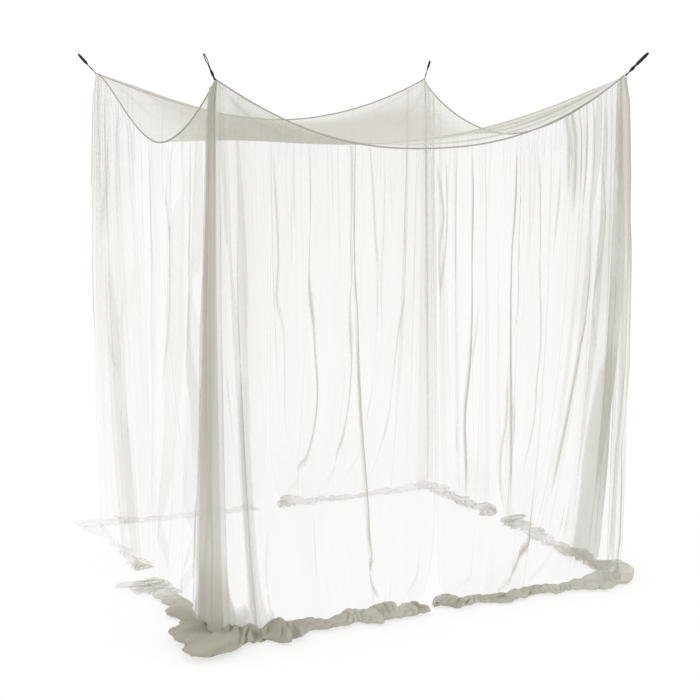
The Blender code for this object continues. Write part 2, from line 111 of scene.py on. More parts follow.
TIE_FROM_CORNER = 0.0074


def top_of(corner):
    """A top corner of the net as an array."""
    return np.array(CORNERS[corner]["top"])


def tie_directions(corner):
    """Start of a corner's tie, the way it runs, level across it, and square to both."""
    top = Vector(CORNERS[corner]["top"])
    outward = Vector((math.copysign(1.0, top.x), math.copysign(1.0, top.y), 0.0)).normalized()
    up = Vector((0.0, 0.0, 1.0))
    along = outward * math.cos(TIE_RISE) + up * math.sin(TIE_RISE)
    across = up.cross(outward)
    return top + outward * TIE_FROM_CORNER, along, across, along.cross(across)


tie_start, tie_along, _, _ = tie_directions("front_left")
ORIGIN = np.array(tie_start + tie_along * (TIE_LENGTH - 0.5 * TIE_LOOP_LONG))
FLOOR = -ORIGIN[2]
print("origin in the net's own sizes:", np.round(ORIGIN, 4), "floor at", round(FLOOR, 4))

# %% [markdown]
# ## Camera and light
# The net is seen from a little above its top edge and from the left, on white. A cloth that is
# mostly holes gets its look from what is behind it, so the world is an even white and the
# floor is almost white. One large soft sun gives the heaped hem its lighter side. The plain
# Standard view keeps white as white, where a film-like view would turn it grey.

# %% Camera, world, sun and floor
CAMERA_PLACE = (-3.347, -7.411, 2.397)
CAMERA_PITCH = math.radians(90.0 - 9.38)
CAMERA_TURN = math.radians(-24.62)
CAMERA_LENS = 84.86
CAMERA_SENSOR = 36.0
LAYERS_SEEN_THROUGH = 96
WORLD_BRIGHT = 1.02
SUN_BRIGHT = 0.45
SUN_SOFT = math.radians(40.0)
SUN_TURN = (math.radians(42.0), math.radians(-18.0), 0.0)
FLOOR_GLOW = 0.632
FLOOR_SPAN = 40.0
FLOOR_BELOW = 0.002

scene = bpy.context.scene
camera = bpy.data.objects.new("camera", bpy.data.cameras.new("camera"))
camera.location = Vector(CAMERA_PLACE) - Vector(ORIGIN)
camera.rotation_euler = (CAMERA_PITCH, 0.0, CAMERA_TURN)
camera.data.lens = CAMERA_LENS
camera.data.sensor_width = CAMERA_SENSOR
scene.collection.objects.link(camera)
scene.camera = camera
scene.view_settings.view_transform = "Standard"
scene.cycles.transparent_max_bounces = LAYERS_SEEN_THROUGH

world = bpy.data.worlds.new("white_studio")
world.use_nodes = True
world.node_tree.nodes["Background"].inputs["Color"].default_value = (1.0, 1.0, 1.0, 1.0)
world.node_tree.nodes["Background"].inputs["Strength"].default_value = WORLD_BRIGHT
scene.world = world

sun = bpy.data.objects.new("soft_sun", bpy.data.lights.new("soft_sun", "SUN"))
sun.data.energy = SUN_BRIGHT
sun.data.angle = SUN_SOFT
sun.rotation_euler = SUN_TURN
scene.collection.objects.link(sun)


def object_from(shape, name):
    """A mesh object made from a bmesh, which is then freed."""
    mesh = bpy.data.meshes.new(name)
    shape.to_mesh(mesh)
    shape.free()
    thing = bpy.data.objects.new(name, mesh)
    scene.collection.objects.link(thing)
    return thing


floor_shape = bmesh.new()
bmesh.ops.create_grid(floor_shape, x_segments=1, y_segments=1, size=FLOOR_SPAN)
bmesh.ops.translate(floor_shape, verts=floor_shape.verts, vec=(0.0, 0.0, FLOOR - FLOOR_BELOW))
floor = object_from(floor_shape, "studio_floor")
floor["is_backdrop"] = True
print("camera at", [round(value, 3) for value in camera.location])

# %% [markdown]
# ## Colours and nodes
# Colours are written as the eye sees them, as sRGB hex values, and one function turns them
# to the linear numbers that a shader works with. One more function adds a node, sets its
# properties, and gives each of its inputs a value or the output of another node, so that each
# material reads from top to bottom.

# %% Helpers for materials
def linear(hex_colour):
    """Linear colour of an sRGB hex value such as "a9a595"."""
    parts = [int(hex_colour[i:i + 2], 16) / 255.0 for i in (0, 2, 4)]
    lit = [c / 12.92 if c <= 0.04045 else ((c + 0.055) / 1.055) ** 2.4 for c in parts]
    return (*lit, 1.0)


def add_node(tree, kind, settings=None, inputs=None):
    """Add a node, set its properties, and feed its inputs with values or other nodes' outputs."""
    node = tree.nodes.new(kind)
    for name, value in (settings or {}).items():
        setattr(node, name, value)
    for name, value in (inputs or {}).items():
        if isinstance(value, bpy.types.NodeSocket):
            tree.links.new(value, node.inputs[name])
        else:
            node.inputs[name].default_value = value
    return node


def new_material(name):
    """An empty node material with its Principled shader."""
    material = bpy.data.materials.new(name)
    material.use_nodes = True
    return material, material.node_tree, material.node_tree.nodes["Principled BSDF"]


def cloth_places(tree):
    """Places on the cloth laid flat, in metres, and the two directions of them apart."""
    cloth = add_node(tree, "ShaderNodeUVMap", {"uv_map": "cloth"}).outputs["UV"]
    place = add_node(tree, "ShaderNodeSeparateXYZ", {}, {"Vector": cloth})
    return cloth, place.outputs["X"], place.outputs["Y"]


def cloth_wave(tree, place, pitch):
    """A smooth wave from -1 to 1 that repeats at every pitch along the cloth."""
    turn = add_node(
        tree, "ShaderNodeMath", {"operation": "MULTIPLY"}, {0: place, 1: 2.0 * math.pi / pitch}
    )
    return add_node(tree, "ShaderNodeMath", {"operation": "SINE"}, {0: turn.outputs[0]}).outputs[0]


# opal acrylic over a light table: a plain white floor that glows a little and holds no dark shadow
floor_material, _, floor_shader = new_material("lit_opal_acrylic")
floor_shader.inputs["Base Color"].default_value = linear("a0a09e")
floor_shader.inputs["Roughness"].default_value = 0.9
floor_shader.inputs["Specular IOR Level"].default_value = 0.0
floor_shader.inputs["Emission Color"].default_value = (1.0, 1.0, 1.0, 1.0)
floor_shader.inputs["Emission Strength"].default_value = FLOOR_GLOW
floor.data.materials.append(floor_material)
print("floor finish:", floor_material.name)

# %% [markdown]
# ## The netting's finish
# The real cloth is knitted polyester net with holes of about 1.5 mm. From a few metres away
# the holes can't be seen, and one layer hides only a few hundredths of what is behind it.
# Where cloth is gathered, many layers lie behind each other, and each lets through its share
# of what is left, so that hidden = 1 - (1 - cover) ** layers.
# The folds store their layers in a point attribute, "gathered", and the material turns it
# into alpha. Two patterns follow the cloth through its UV map, which is in metres: the knit,
# drawn at 3 mm because 1.5 mm would never show, and faint streaks, a couple of centimetres
# wide and decimetres long, where the knit is drawn a little tighter. The colour wanders
# slowly between two tones, and where the cloth lies in many layers, in the heap and in the
# densest creases, it is painted darker as painted shade.

# %% Material of the netting
WALL_COVER = 0.068
ROOF_COVER = 0.32
KNIT_PITCH = 0.003
KNIT_THINNEST = 0.80
KNIT_THICKEST = 1.10
KNIT_RELIEF = 0.0006
STREAK_WIDE = 0.022
STREAK_LONG = 0.60
# painted shade: the layers at which the net starts and ends its darker tone, and that tone, which
# stands for shade in the heap and the densest creases
PAINTED_SHADE_FROM = 20.0
PAINTED_SHADE_FULL = 60.0
PAINTED_SHADE_CLOTH = "a7a395"


def make_netting(name, cover, dark, pale, streaky):
    """Netting in which one flat layer hides the given share of what is behind it."""
    material, tree, shader = new_material(name)
    layers = add_node(tree, "ShaderNodeAttribute", {"attribute_name": "gathered"}).outputs["Fac"]
    cloth, across, down = cloth_places(tree)
    knit = add_node(
        tree, "ShaderNodeMath", {"operation": "MAXIMUM"},
        {0: cloth_wave(tree, across, KNIT_PITCH), 1: cloth_wave(tree, down, KNIT_PITCH)},
    )
    knit_cover = add_node(
        tree, "ShaderNodeMapRange", {},
        {
            "Value": knit.outputs[0], "From Min": -1.0, "From Max": 1.0,
            "To Min": KNIT_THINNEST, "To Max": KNIT_THICKEST,
        },
    )
    stretched = add_node(
        tree, "ShaderNodeMapping", {},
        {"Vector": cloth, "Scale": (1.0 / STREAK_WIDE, 1.0 / STREAK_LONG, 1.0)},
    )
    streaks = add_node(
        tree, "ShaderNodeTexNoise", {"noise_dimensions": "2D"},
        {"Vector": stretched.outputs[0], "Scale": 1.0, "Detail": 2.0, "Roughness": 0.6},
    )
    streak_cover = add_node(
        tree, "ShaderNodeMapRange", {},
        {
            "Value": streaks.outputs["Fac"], "From Min": 0.30, "From Max": 0.70,
            "To Min": 1.0 - streaky, "To Max": 1.0 + streaky,
        },
    )
    patterned = add_node(
        tree, "ShaderNodeMath", {"operation": "MULTIPLY"},
        {0: knit_cover.outputs[0], 1: streak_cover.outputs[0]},
    )
    covered = add_node(
        tree, "ShaderNodeMath", {"operation": "MULTIPLY"}, {0: layers, 1: patterned.outputs[0]}
    )
    thinned = add_node(
        tree, "ShaderNodeMath", {"operation": "MULTIPLY"},
        {0: covered.outputs[0], 1: math.log(1.0 - cover)},
    )
    let_through = add_node(
        tree, "ShaderNodeMath", {"operation": "EXPONENT"}, {0: thinned.outputs[0]}
    )
    hidden = add_node(
        tree, "ShaderNodeMath", {"operation": "SUBTRACT", "use_clamp": True},
        {0: 1.0, 1: let_through.outputs[0]},
    )
    soft_place = add_node(tree, "ShaderNodeTexCoord").outputs["Object"]
    cloudy = add_node(
        tree, "ShaderNodeTexNoise", {}, {"Vector": soft_place, "Scale": 1.6, "Detail": 2.0}
    )
    colour = add_node(
        tree, "ShaderNodeMix", {"data_type": "RGBA"},
        {0: cloudy.outputs["Fac"], 6: linear(dark), 7: linear(pale)},
    )
    # painted shade: where the cloth lies in many layers, in the heap and the densest creases, the
    # colour is mixed towards a darker tone; heaped is the share of that painted shade
    heaped = add_node(
        tree, "ShaderNodeMapRange", {},
        {"Value": layers, "From Min": PAINTED_SHADE_FROM, "From Max": PAINTED_SHADE_FULL},
    )
    shaded = add_node(
        tree, "ShaderNodeMix", {"data_type": "RGBA"},
        {0: heaped.outputs[0], 6: colour.outputs[2], 7: linear(PAINTED_SHADE_CLOTH)},
    )
    relief = add_node(
        tree, "ShaderNodeBump", {},
        {"Height": patterned.outputs[0], "Strength": 0.35, "Distance": KNIT_RELIEF},
    )
    tree.links.new(hidden.outputs[0], shader.inputs["Alpha"])
    tree.links.new(shaded.outputs[2], shader.inputs["Base Color"])
    tree.links.new(relief.outputs[0], shader.inputs["Normal"])
    shader.inputs["Roughness"].default_value = 0.85
    shader.inputs["Specular IOR Level"].default_value = 0.2
    return material


wall_netting = make_netting("knitted_polyester_net", WALL_COVER, "bfbdb3", "cccac1", 0.10)
roof_netting = make_netting("knitted_polyester_net_roof", ROOF_COVER, "bcb9ac", "c6c3b8", 0.06)
print("one flat layer hides", WALL_COVER, "of what is behind it, and in the roof", ROOF_COVER)

# %% [markdown]
# ## Smooth steps and uneven waves
# Three small functions serve all the cloth. `soft_step` goes gently from 0 to 1. `uneven` and
# `ripple` add up waves of different lengths, so that crumpled cloth never repeats itself, and
# a seed gives the same cloth in every run.

# %% Smooth steps and waves
def soft_step(low, high, value):
    """0 below low, 1 above high, with a smooth way between."""
    share = np.clip((value - low) / (high - low), 0.0, 1.0)
    return share * share * (3.0 - 2.0 * share)


def uneven(place, seed):
    """Slow wandering value from about -1 to 1."""
    slow = np.sin(2.3 * place + 1.7 * seed)
    middle = np.sin(6.1 * place + 0.9 * seed)
    quick = np.sin(13.7 * place + 2.3 * seed)
    return 0.5 * slow + 0.3 * middle + 0.2 * quick


def ripple(across, down, seed, waves=14):
    """Crumpled height from about -1 to 1, from waves that run in many directions."""
    chance = np.random.RandomState(seed)
    height = np.zeros(np.broadcast(across, down).shape)
    for _ in range(waves):
        turn = chance.uniform(0.0, math.pi)
        speed = chance.uniform(0.6, 1.8)
        start = chance.uniform(0.0, 2.0 * math.pi)
        run = across * math.cos(turn) + down * math.sin(turn)
        height = height + np.sin(speed * run + start)
    return height / math.sqrt(waves)


# %% [markdown]
# ## The hanging top edges
# Each top edge hangs between two corners like a slack chain, and the cloth on it also draws it
# in or out a little. Its lowest place need not be half way.

# %% Points of the top edges
def sag_shape(edge, share):
    """Share of an edge's full sag at places along it."""
    drawn = share ** (2.0 ** edge["skew"])
    return 1.0 - np.abs(2.0 * drawn - 1.0) ** edge["power"]


def edge_point(name, share):
    """Points of a hanging top edge, from its first corner (0) to its second (1)."""
    edge = EDGES[name]
    start, end = (top_of(corner) for corner in edge["ends"])
    share = np.asarray(share, float)
    sag = sag_shape(edge, share)
    inwards = -0.5 * (start + end) * (1.0, 1.0, 0.0)
    inwards /= np.linalg.norm(inwards)
    point = start + (end - start) * share[..., None] + inwards * (edge["bow"] * sag)[..., None]
    point[..., 2] -= edge["sag"] * sag
    return point


for name in EDGES:
    lowest = edge_point(name, np.linspace(0.0, 1.0, 101))[:, 2].min()
    print(name, "edge, lowest place above the floor in metres:", round(lowest, 3))

# %% [markdown]
# ## From a flat grid to a sheet
# A sheet starts as a flat grid from `bmesh.ops.create_grid`, and its points are then moved to
# their places in one go, which is far quicker than moving them one at a time. Each point also
# gets its gathered layers, and its place on the cloth laid flat as a UV map in metres.

# %% Make a sheet
def grid_sheet(name, points, cloth, gathered, material):
    """A sheet made from a flat grid, its points put where the array says."""
    rows, columns = points.shape[:2]
    shape = bmesh.new()
    bmesh.ops.create_grid(shape, x_segments=columns - 1, y_segments=rows - 1, size=0.5)
    sheet = object_from(shape, name)
    mesh = sheet.data
    flat = np.zeros(len(mesh.vertices) * 3)
    mesh.vertices.foreach_get("co", flat)
    flat = flat.reshape(-1, 3)
    column = np.rint((flat[:, 0] + 0.5) * (columns - 1)).astype(int)
    row = np.rint((0.5 - flat[:, 1]) * (rows - 1)).astype(int)
    placed = points[row, column] - ORIGIN
    mesh.vertices.foreach_set("co", placed.ravel())
    layers = mesh.attributes.new("gathered", "FLOAT", "POINT")
    layers.data.foreach_set("value", gathered[row, column].astype(np.float32))
    corner_of = np.zeros(len(mesh.loops), dtype=int)
    mesh.loops.foreach_get("vertex_index", corner_of)
    unrolled = mesh.uv_layers.new(name="cloth")
    unrolled.data.foreach_set("uv", cloth[row, column][corner_of].ravel())
    mesh.shade_smooth()
    mesh.update()
    mesh.materials.append(material)
    return sheet


# %% [markdown]
# ## The four walls
# Each wall is one length of netting, gathered round a corner. It has more cloth than the side
# that it covers, so it stands in folds, and the cloth crowds towards the corner. A place on it
# is told by `cloth`, from -1 at one way in, through 0 at the corner, to 1 at the other, and by
# `drop`, from 0 under the tape to 1 at the floor. Past the floor the cloth goes back and forth
# on itself in the heaped hem. The main folds start where the solids have them.

# %% Sizes of the walls
# sides: its two top edges; ends: where its free edges lie on the floor; seed: its own chance
# folds: where each side's main folds start; deep: (side, fold) and its extra depth and lean
# swing: how far each side's cloth drifts to its way in, lower down
# sheer: the share of its layers that each side's hanging cloth shows
# roll and pile: reach and height of the hem along each side, and at its way in
# heap: a bigger roll near the corner; dip: middle, width and share of a low place in the hem
# hem_share: how much of the hanging layers the hem keeps
# hem_layers: what the hem adds to them on each side, near the corner and near the way in;
# where they are many, the net's finish also paints shade on the hem
WALLS = {
    "back_left": {
        "sides": ("left", "back"), "ends": ((-0.968, 0.285), (-0.120, 0.985)), "seed": 3,
        "folds": (
            (0.0, 0.08, 0.18, 0.32, 0.52, 0.62, 0.82, 1.0),
            (0.0, 0.10, 0.20, 0.34, 0.46, 0.60, 0.78, 1.0),
        ),
        "deep": {(0, 3): (1.2, -0.4), (1, 4): (1.2, -0.3)},
        "swing": (0.36, 0.20),
        "roll": ((0.034, 0.016), (0.042, 0.022)), "pile": ((0.085, 0.030), (0.055, 0.030)),
        "sheer": (0.28, 0.9), "hem_share": 0.6, "hem_layers": ((1.0, 2.2), (0.8, 1.0)),
        "heap": {"reach": 0.16, "high": 0.022, "middle": 0.04, "wide": 0.16},
    },
    "front_left": {
        "sides": ("front", "left"), "ends": ((-0.075, -0.965), (-1.120, -0.270)), "seed": 8,
        "folds": (
            (0.0, 0.08, 0.155, 0.21, 0.43, 0.655, 0.715, 1.0),
            (0.0, 0.08, 0.20, 0.36, 0.41, 0.55, 0.75, 1.0),
        ),
        "deep": {(0, 2): (1.9, -0.9), (0, 5): (1.8, 0.5), (1, 3): (1.6, -0.4)},
        "swing": (0.14, 0.30),
        "roll": ((0.072, 0.060), (0.078, 0.038)), "pile": ((0.080, 0.054), (0.120, 0.042)),
        "sheer": (1.0, 0.22), "hem_share": 1.0, "hem_layers": ((64.0, 30.0), (46.0, 3.0)),
        "heap": {"reach": 0.135, "high": 0.086, "middle": -0.11, "wide": 0.27},
        "dip": (-0.175, 0.036, 0.5),
    },
    "back_right": {
        "sides": ("back", "right"), "ends": ((0.105, 0.985), (1.060, 0.375)), "seed": 5,
        "folds": (
            (0.0, 0.17, 0.22, 0.54, 0.59, 0.78, 0.83, 1.0),
            (0.0, 0.06, 0.13, 0.28, 0.35, 0.70, 0.75, 1.0),
        ),
        "deep": {
            (0, 1): (1.6, 0.4), (0, 3): (1.7, 0.4), (0, 5): (1.8, 0.5),
            (1, 3): (1.4, 0.3), (1, 5): (1.7, -0.4),
        },
        "swing": (0.16, 0.05),
        "roll": ((0.045, 0.026), (0.050, 0.028)), "pile": ((0.075, 0.040), (0.085, 0.036)),
        "sheer": (0.9, 0.65), "hem_share": 0.6, "hem_layers": ((1.2, 2.2), (1.2, 3.2)),
        "heap": {"reach": 0.07, "high": 0.036, "middle": 0.05, "wide": 0.22},
    },
    "front_right": {
        "sides": ("right", "front"), "ends": ((1.085, 0.115), (0.078, -0.955)), "seed": 12,
        "folds": (
            (0.0, 0.12, 0.22, 0.33, 0.39, 0.86, 0.92, 1.0),
            (0.0, 0.06, 0.13, 0.25, 0.50, 0.56, 0.80, 1.0),
        ),
        "deep": {(0, 1): (1.5, -0.1), (0, 3): (1.7, 0.4), (0, 5): (1.7, 0.4), (1, 4): (1.6, -0.5)},
        "swing": (0.38, 0.16),
        "roll": ((0.062, 0.032), (0.052, 0.036)), "pile": ((0.075, 0.038), (0.064, 0.042)),
        "sheer": (0.65, 1.0), "hem_share": 1.0, "hem_layers": ((6.0, 2.8), (16.0, 34.0)),
        "heap": {"reach": 0.076, "high": 0.084, "middle": 0.06, "wide": 0.18},
    },
}

# %% [markdown]
# ## Flat pleats placed one by one
# On top of the main folds a net has pleats and creases of its own, and no two are alike. They
# could be left to chance, but the eye knows a net by them, so the larger ones are placed one
# by one. A flat pleat is a band of cloth that lies on itself: even in tone, with clean edges.
# Each line of PLEATS is one, read from top to bottom: the side it is on, its places as
# (drop, from, to), how many more layers of netting lie there, and how soft its edges are in
# millimetres.

# %% Flat pleats of each wall
# pleats with very many layers, as at the front left corner, also get the net's painted shade
PLEATS = {
    "front_left": (
        (0, ((0.00, -0.10, 0.028), (1.00, -0.10, 0.034)), 29.0, 5),
        (0, ((0.00, 0.028, 0.058), (1.00, 0.034, 0.056)), 5.0, 4),
        (0, ((0.02, 0.165, 0.190), (0.33, 0.170, 0.210), (0.46, 0.165, 0.204),
             (0.56, 0.142, 0.204), (0.80, 0.140, 0.198), (0.93, 0.138, 0.204),
             (1.00, 0.132, 0.224)), 4.0, 3),
        (0, ((0.06, 0.050, 0.110), (0.16, 0.066, 0.115), (0.25, 0.085, 0.122),
             (0.33, 0.105, 0.140), (0.46, 0.130, 0.168), (0.56, 0.140, 0.190),
             (0.93, 0.140, 0.200), (1.00, 0.125, 0.220)), 3.4, 3),
        (0, ((0.50, 0.150, 0.172), (0.80, 0.142, 0.176), (1.00, 0.144, 0.180)), 6.0, 4),
        (0, ((0.84, -0.10, 0.050), (0.93, -0.10, 0.072), (1.00, -0.10, 0.130)), 16.0, 20),
        (1, ((0.84, -0.10, 0.110), (0.93, -0.10, 0.125), (1.00, -0.10, 0.180)), 16.0, 20),
        (0, ((0.05, 0.200, 0.350), (0.40, 0.200, 0.345), (0.55, 0.210, 0.300)), 0.9, 16),
        (0, ((0.02, 0.320, 0.362), (0.12, 0.335, 0.360), (0.24, 0.348, 0.360)), 1.8, 5),
        (1, ((0.00, -0.10, 0.110), (1.00, -0.10, 0.100)), 29.0, 6),
        (1, ((0.00, 0.108, 0.170), (0.35, 0.105, 0.165), (0.50, 0.105, 0.188),
             (1.00, 0.100, 0.185)), 4.4, 8),
        (1, ((0.02, 0.240, 0.325), (0.12, 0.250, 0.318), (0.27, 0.252, 0.300),
             (0.33, 0.230, 0.252), (0.41, 0.200, 0.232), (0.75, 0.190, 0.225),
             (0.88, 0.172, 0.202), (0.93, 0.215, 0.255), (0.98, 0.290, 0.340)), 2.4, 8),
        (1, ((0.05, 0.398, 0.420), (0.25, 0.375, 0.404), (0.41, 0.360, 0.388),
             (0.57, 0.327, 0.354), (0.68, 0.320, 0.343)), 4.2, 6),
        (1, ((0.05, 0.475, 0.500), (0.16, 0.522, 0.560), (0.33, 0.530, 0.586),
             (0.47, 0.530, 0.582), (0.60, 0.540, 0.580), (0.74, 0.552, 0.595),
             (0.82, 0.578, 0.622), (0.92, 0.652, 0.712), (0.97, 0.700, 0.800)), 2.6, 8),
        (1, ((0.00, 0.762, 0.915), (0.30, 0.765, 0.905), (0.41, 0.772, 0.875),
             (0.57, 0.782, 0.862), (0.74, 0.812, 0.898), (0.94, 0.850, 0.912)), 1.1, 16),
        (1, ((0.03, 0.770, 0.822), (0.30, 0.775, 0.830), (0.52, 0.790, 0.838)), 0.7, 8),
    ),
    "front_right": (
        (0, ((0.00, -0.10, 0.110), (0.14, -0.10, 0.112), (0.20, -0.10, 0.062),
             (0.33, -0.10, 0.045), (0.40, -0.10, 0.030)), 6.5, 8),
        (0, ((0.00, -0.10, 0.024), (0.24, -0.10, 0.022)), 8.0, 5),
        (0, ((0.03, 0.110, 0.255), (0.24, 0.110, 0.215), (0.45, 0.115, 0.185)), 2.4, 12),
        (0, ((0.20, 0.075, 0.250), (0.36, 0.070, 0.265), (0.457, 0.070, 0.250),
             (0.57, 0.070, 0.225), (0.735, 0.070, 0.200), (1.00, 0.070, 0.184)), 2.6, 10),
        (0, ((0.50, 0.070, 0.160), (0.64, 0.070, 0.178), (0.735, 0.070, 0.186),
             (1.00, 0.070, 0.180)), 9.0, 12),
        (0, ((0.36, 0.070, 0.100), (0.88, 0.068, 0.110)), 8.0, 8),
        (0, ((0.20, 0.250, 0.375), (0.45, 0.250, 0.370), (0.58, 0.230, 0.300),
             (0.75, 0.200, 0.265), (1.00, 0.190, 0.250)), 1.3, 14),
        (0, ((0.00, 0.268, 0.300), (0.13, 0.270, 0.302), (0.22, 0.292, 0.312),
             (0.32, 0.325, 0.343)), 6.0, 5),
        (0, ((0.00, 0.360, 0.570), (0.18, 0.370, 0.520)), 1.0, 14),
        (0, ((0.66, 0.872, 0.890), (0.78, 0.848, 0.872), (0.88, 0.805, 0.832),
             (0.94, 0.770, 0.795)), 4.0, 6),
        (1, ((0.00, -0.10, 0.090), (0.16, -0.10, 0.070), (0.33, -0.10, 0.040)), 6.0, 5),
        (1, ((0.00, -0.10, 0.040), (1.00, -0.10, 0.030)), 2.0, 8),
        (1, ((0.88, 0.560, 0.700), (1.00, 0.500, 0.720)), 1.2, 16),
    ),
    "back_right": (
        (0, ((0.00, -0.10, 0.055), (1.00, -0.10, 0.050)), 2.2, 14),
        (0, ((0.18, 0.084, 0.125), (0.40, 0.095, 0.136), (0.50, 0.104, 0.165),
             (0.80, 0.112, 0.172), (0.96, 0.120, 0.176)), 0.5, 12),
        (1, ((0.00, -0.10, 0.190), (0.14, -0.10, 0.190), (0.22, -0.10, 0.140),
             (0.35, -0.10, 0.125), (0.80, -0.10, 0.120), (0.94, -0.10, 0.100)), 0.3, 14),
        (1, ((0.00, -0.10, 0.055), (1.00, -0.10, 0.050)), 1.8, 14),
        (1, ((0.40, 0.315, 0.365), (0.58, 0.335, 0.375), (0.80, 0.345, 0.392)), 1.1, 10),
        (1, ((0.84, 0.640, 0.800), (0.98, 0.600, 0.840)), 1.2, 18),
    ),
    "back_left": (
        (0, ((0.00, -0.10, 0.090), (0.28, -0.10, 0.070)), 1.6, 12),
        (0, ((0.08, 0.262, 0.295), (0.34, 0.228, 0.262)), 1.6, 16),
        (0, ((0.37, 0.325, 0.370), (0.48, 0.300, 0.440), (0.60, 0.300, 0.490),
             (0.72, 0.300, 0.580), (1.00, 0.290, 0.640)), 1.2, 30),
        (0, ((0.02, 0.560, 0.800), (0.24, 0.600, 0.780)), 0.7, 30),
        (0, ((0.33, 0.715, 0.755), (0.56, 0.630, 0.690)), 1.2, 20),
        (0, ((0.20, 0.880, 0.945), (0.40, 0.900, 0.955), (0.68, 0.925, 0.965)), 1.6, 12),
        (1, ((0.36, 0.095, 0.130), (0.56, 0.100, 0.150), (1.00, 0.100, 0.165)), 2.6, 6),
    ),
}

print("flat pleats:", sum(len(lines) for lines in PLEATS.values()))
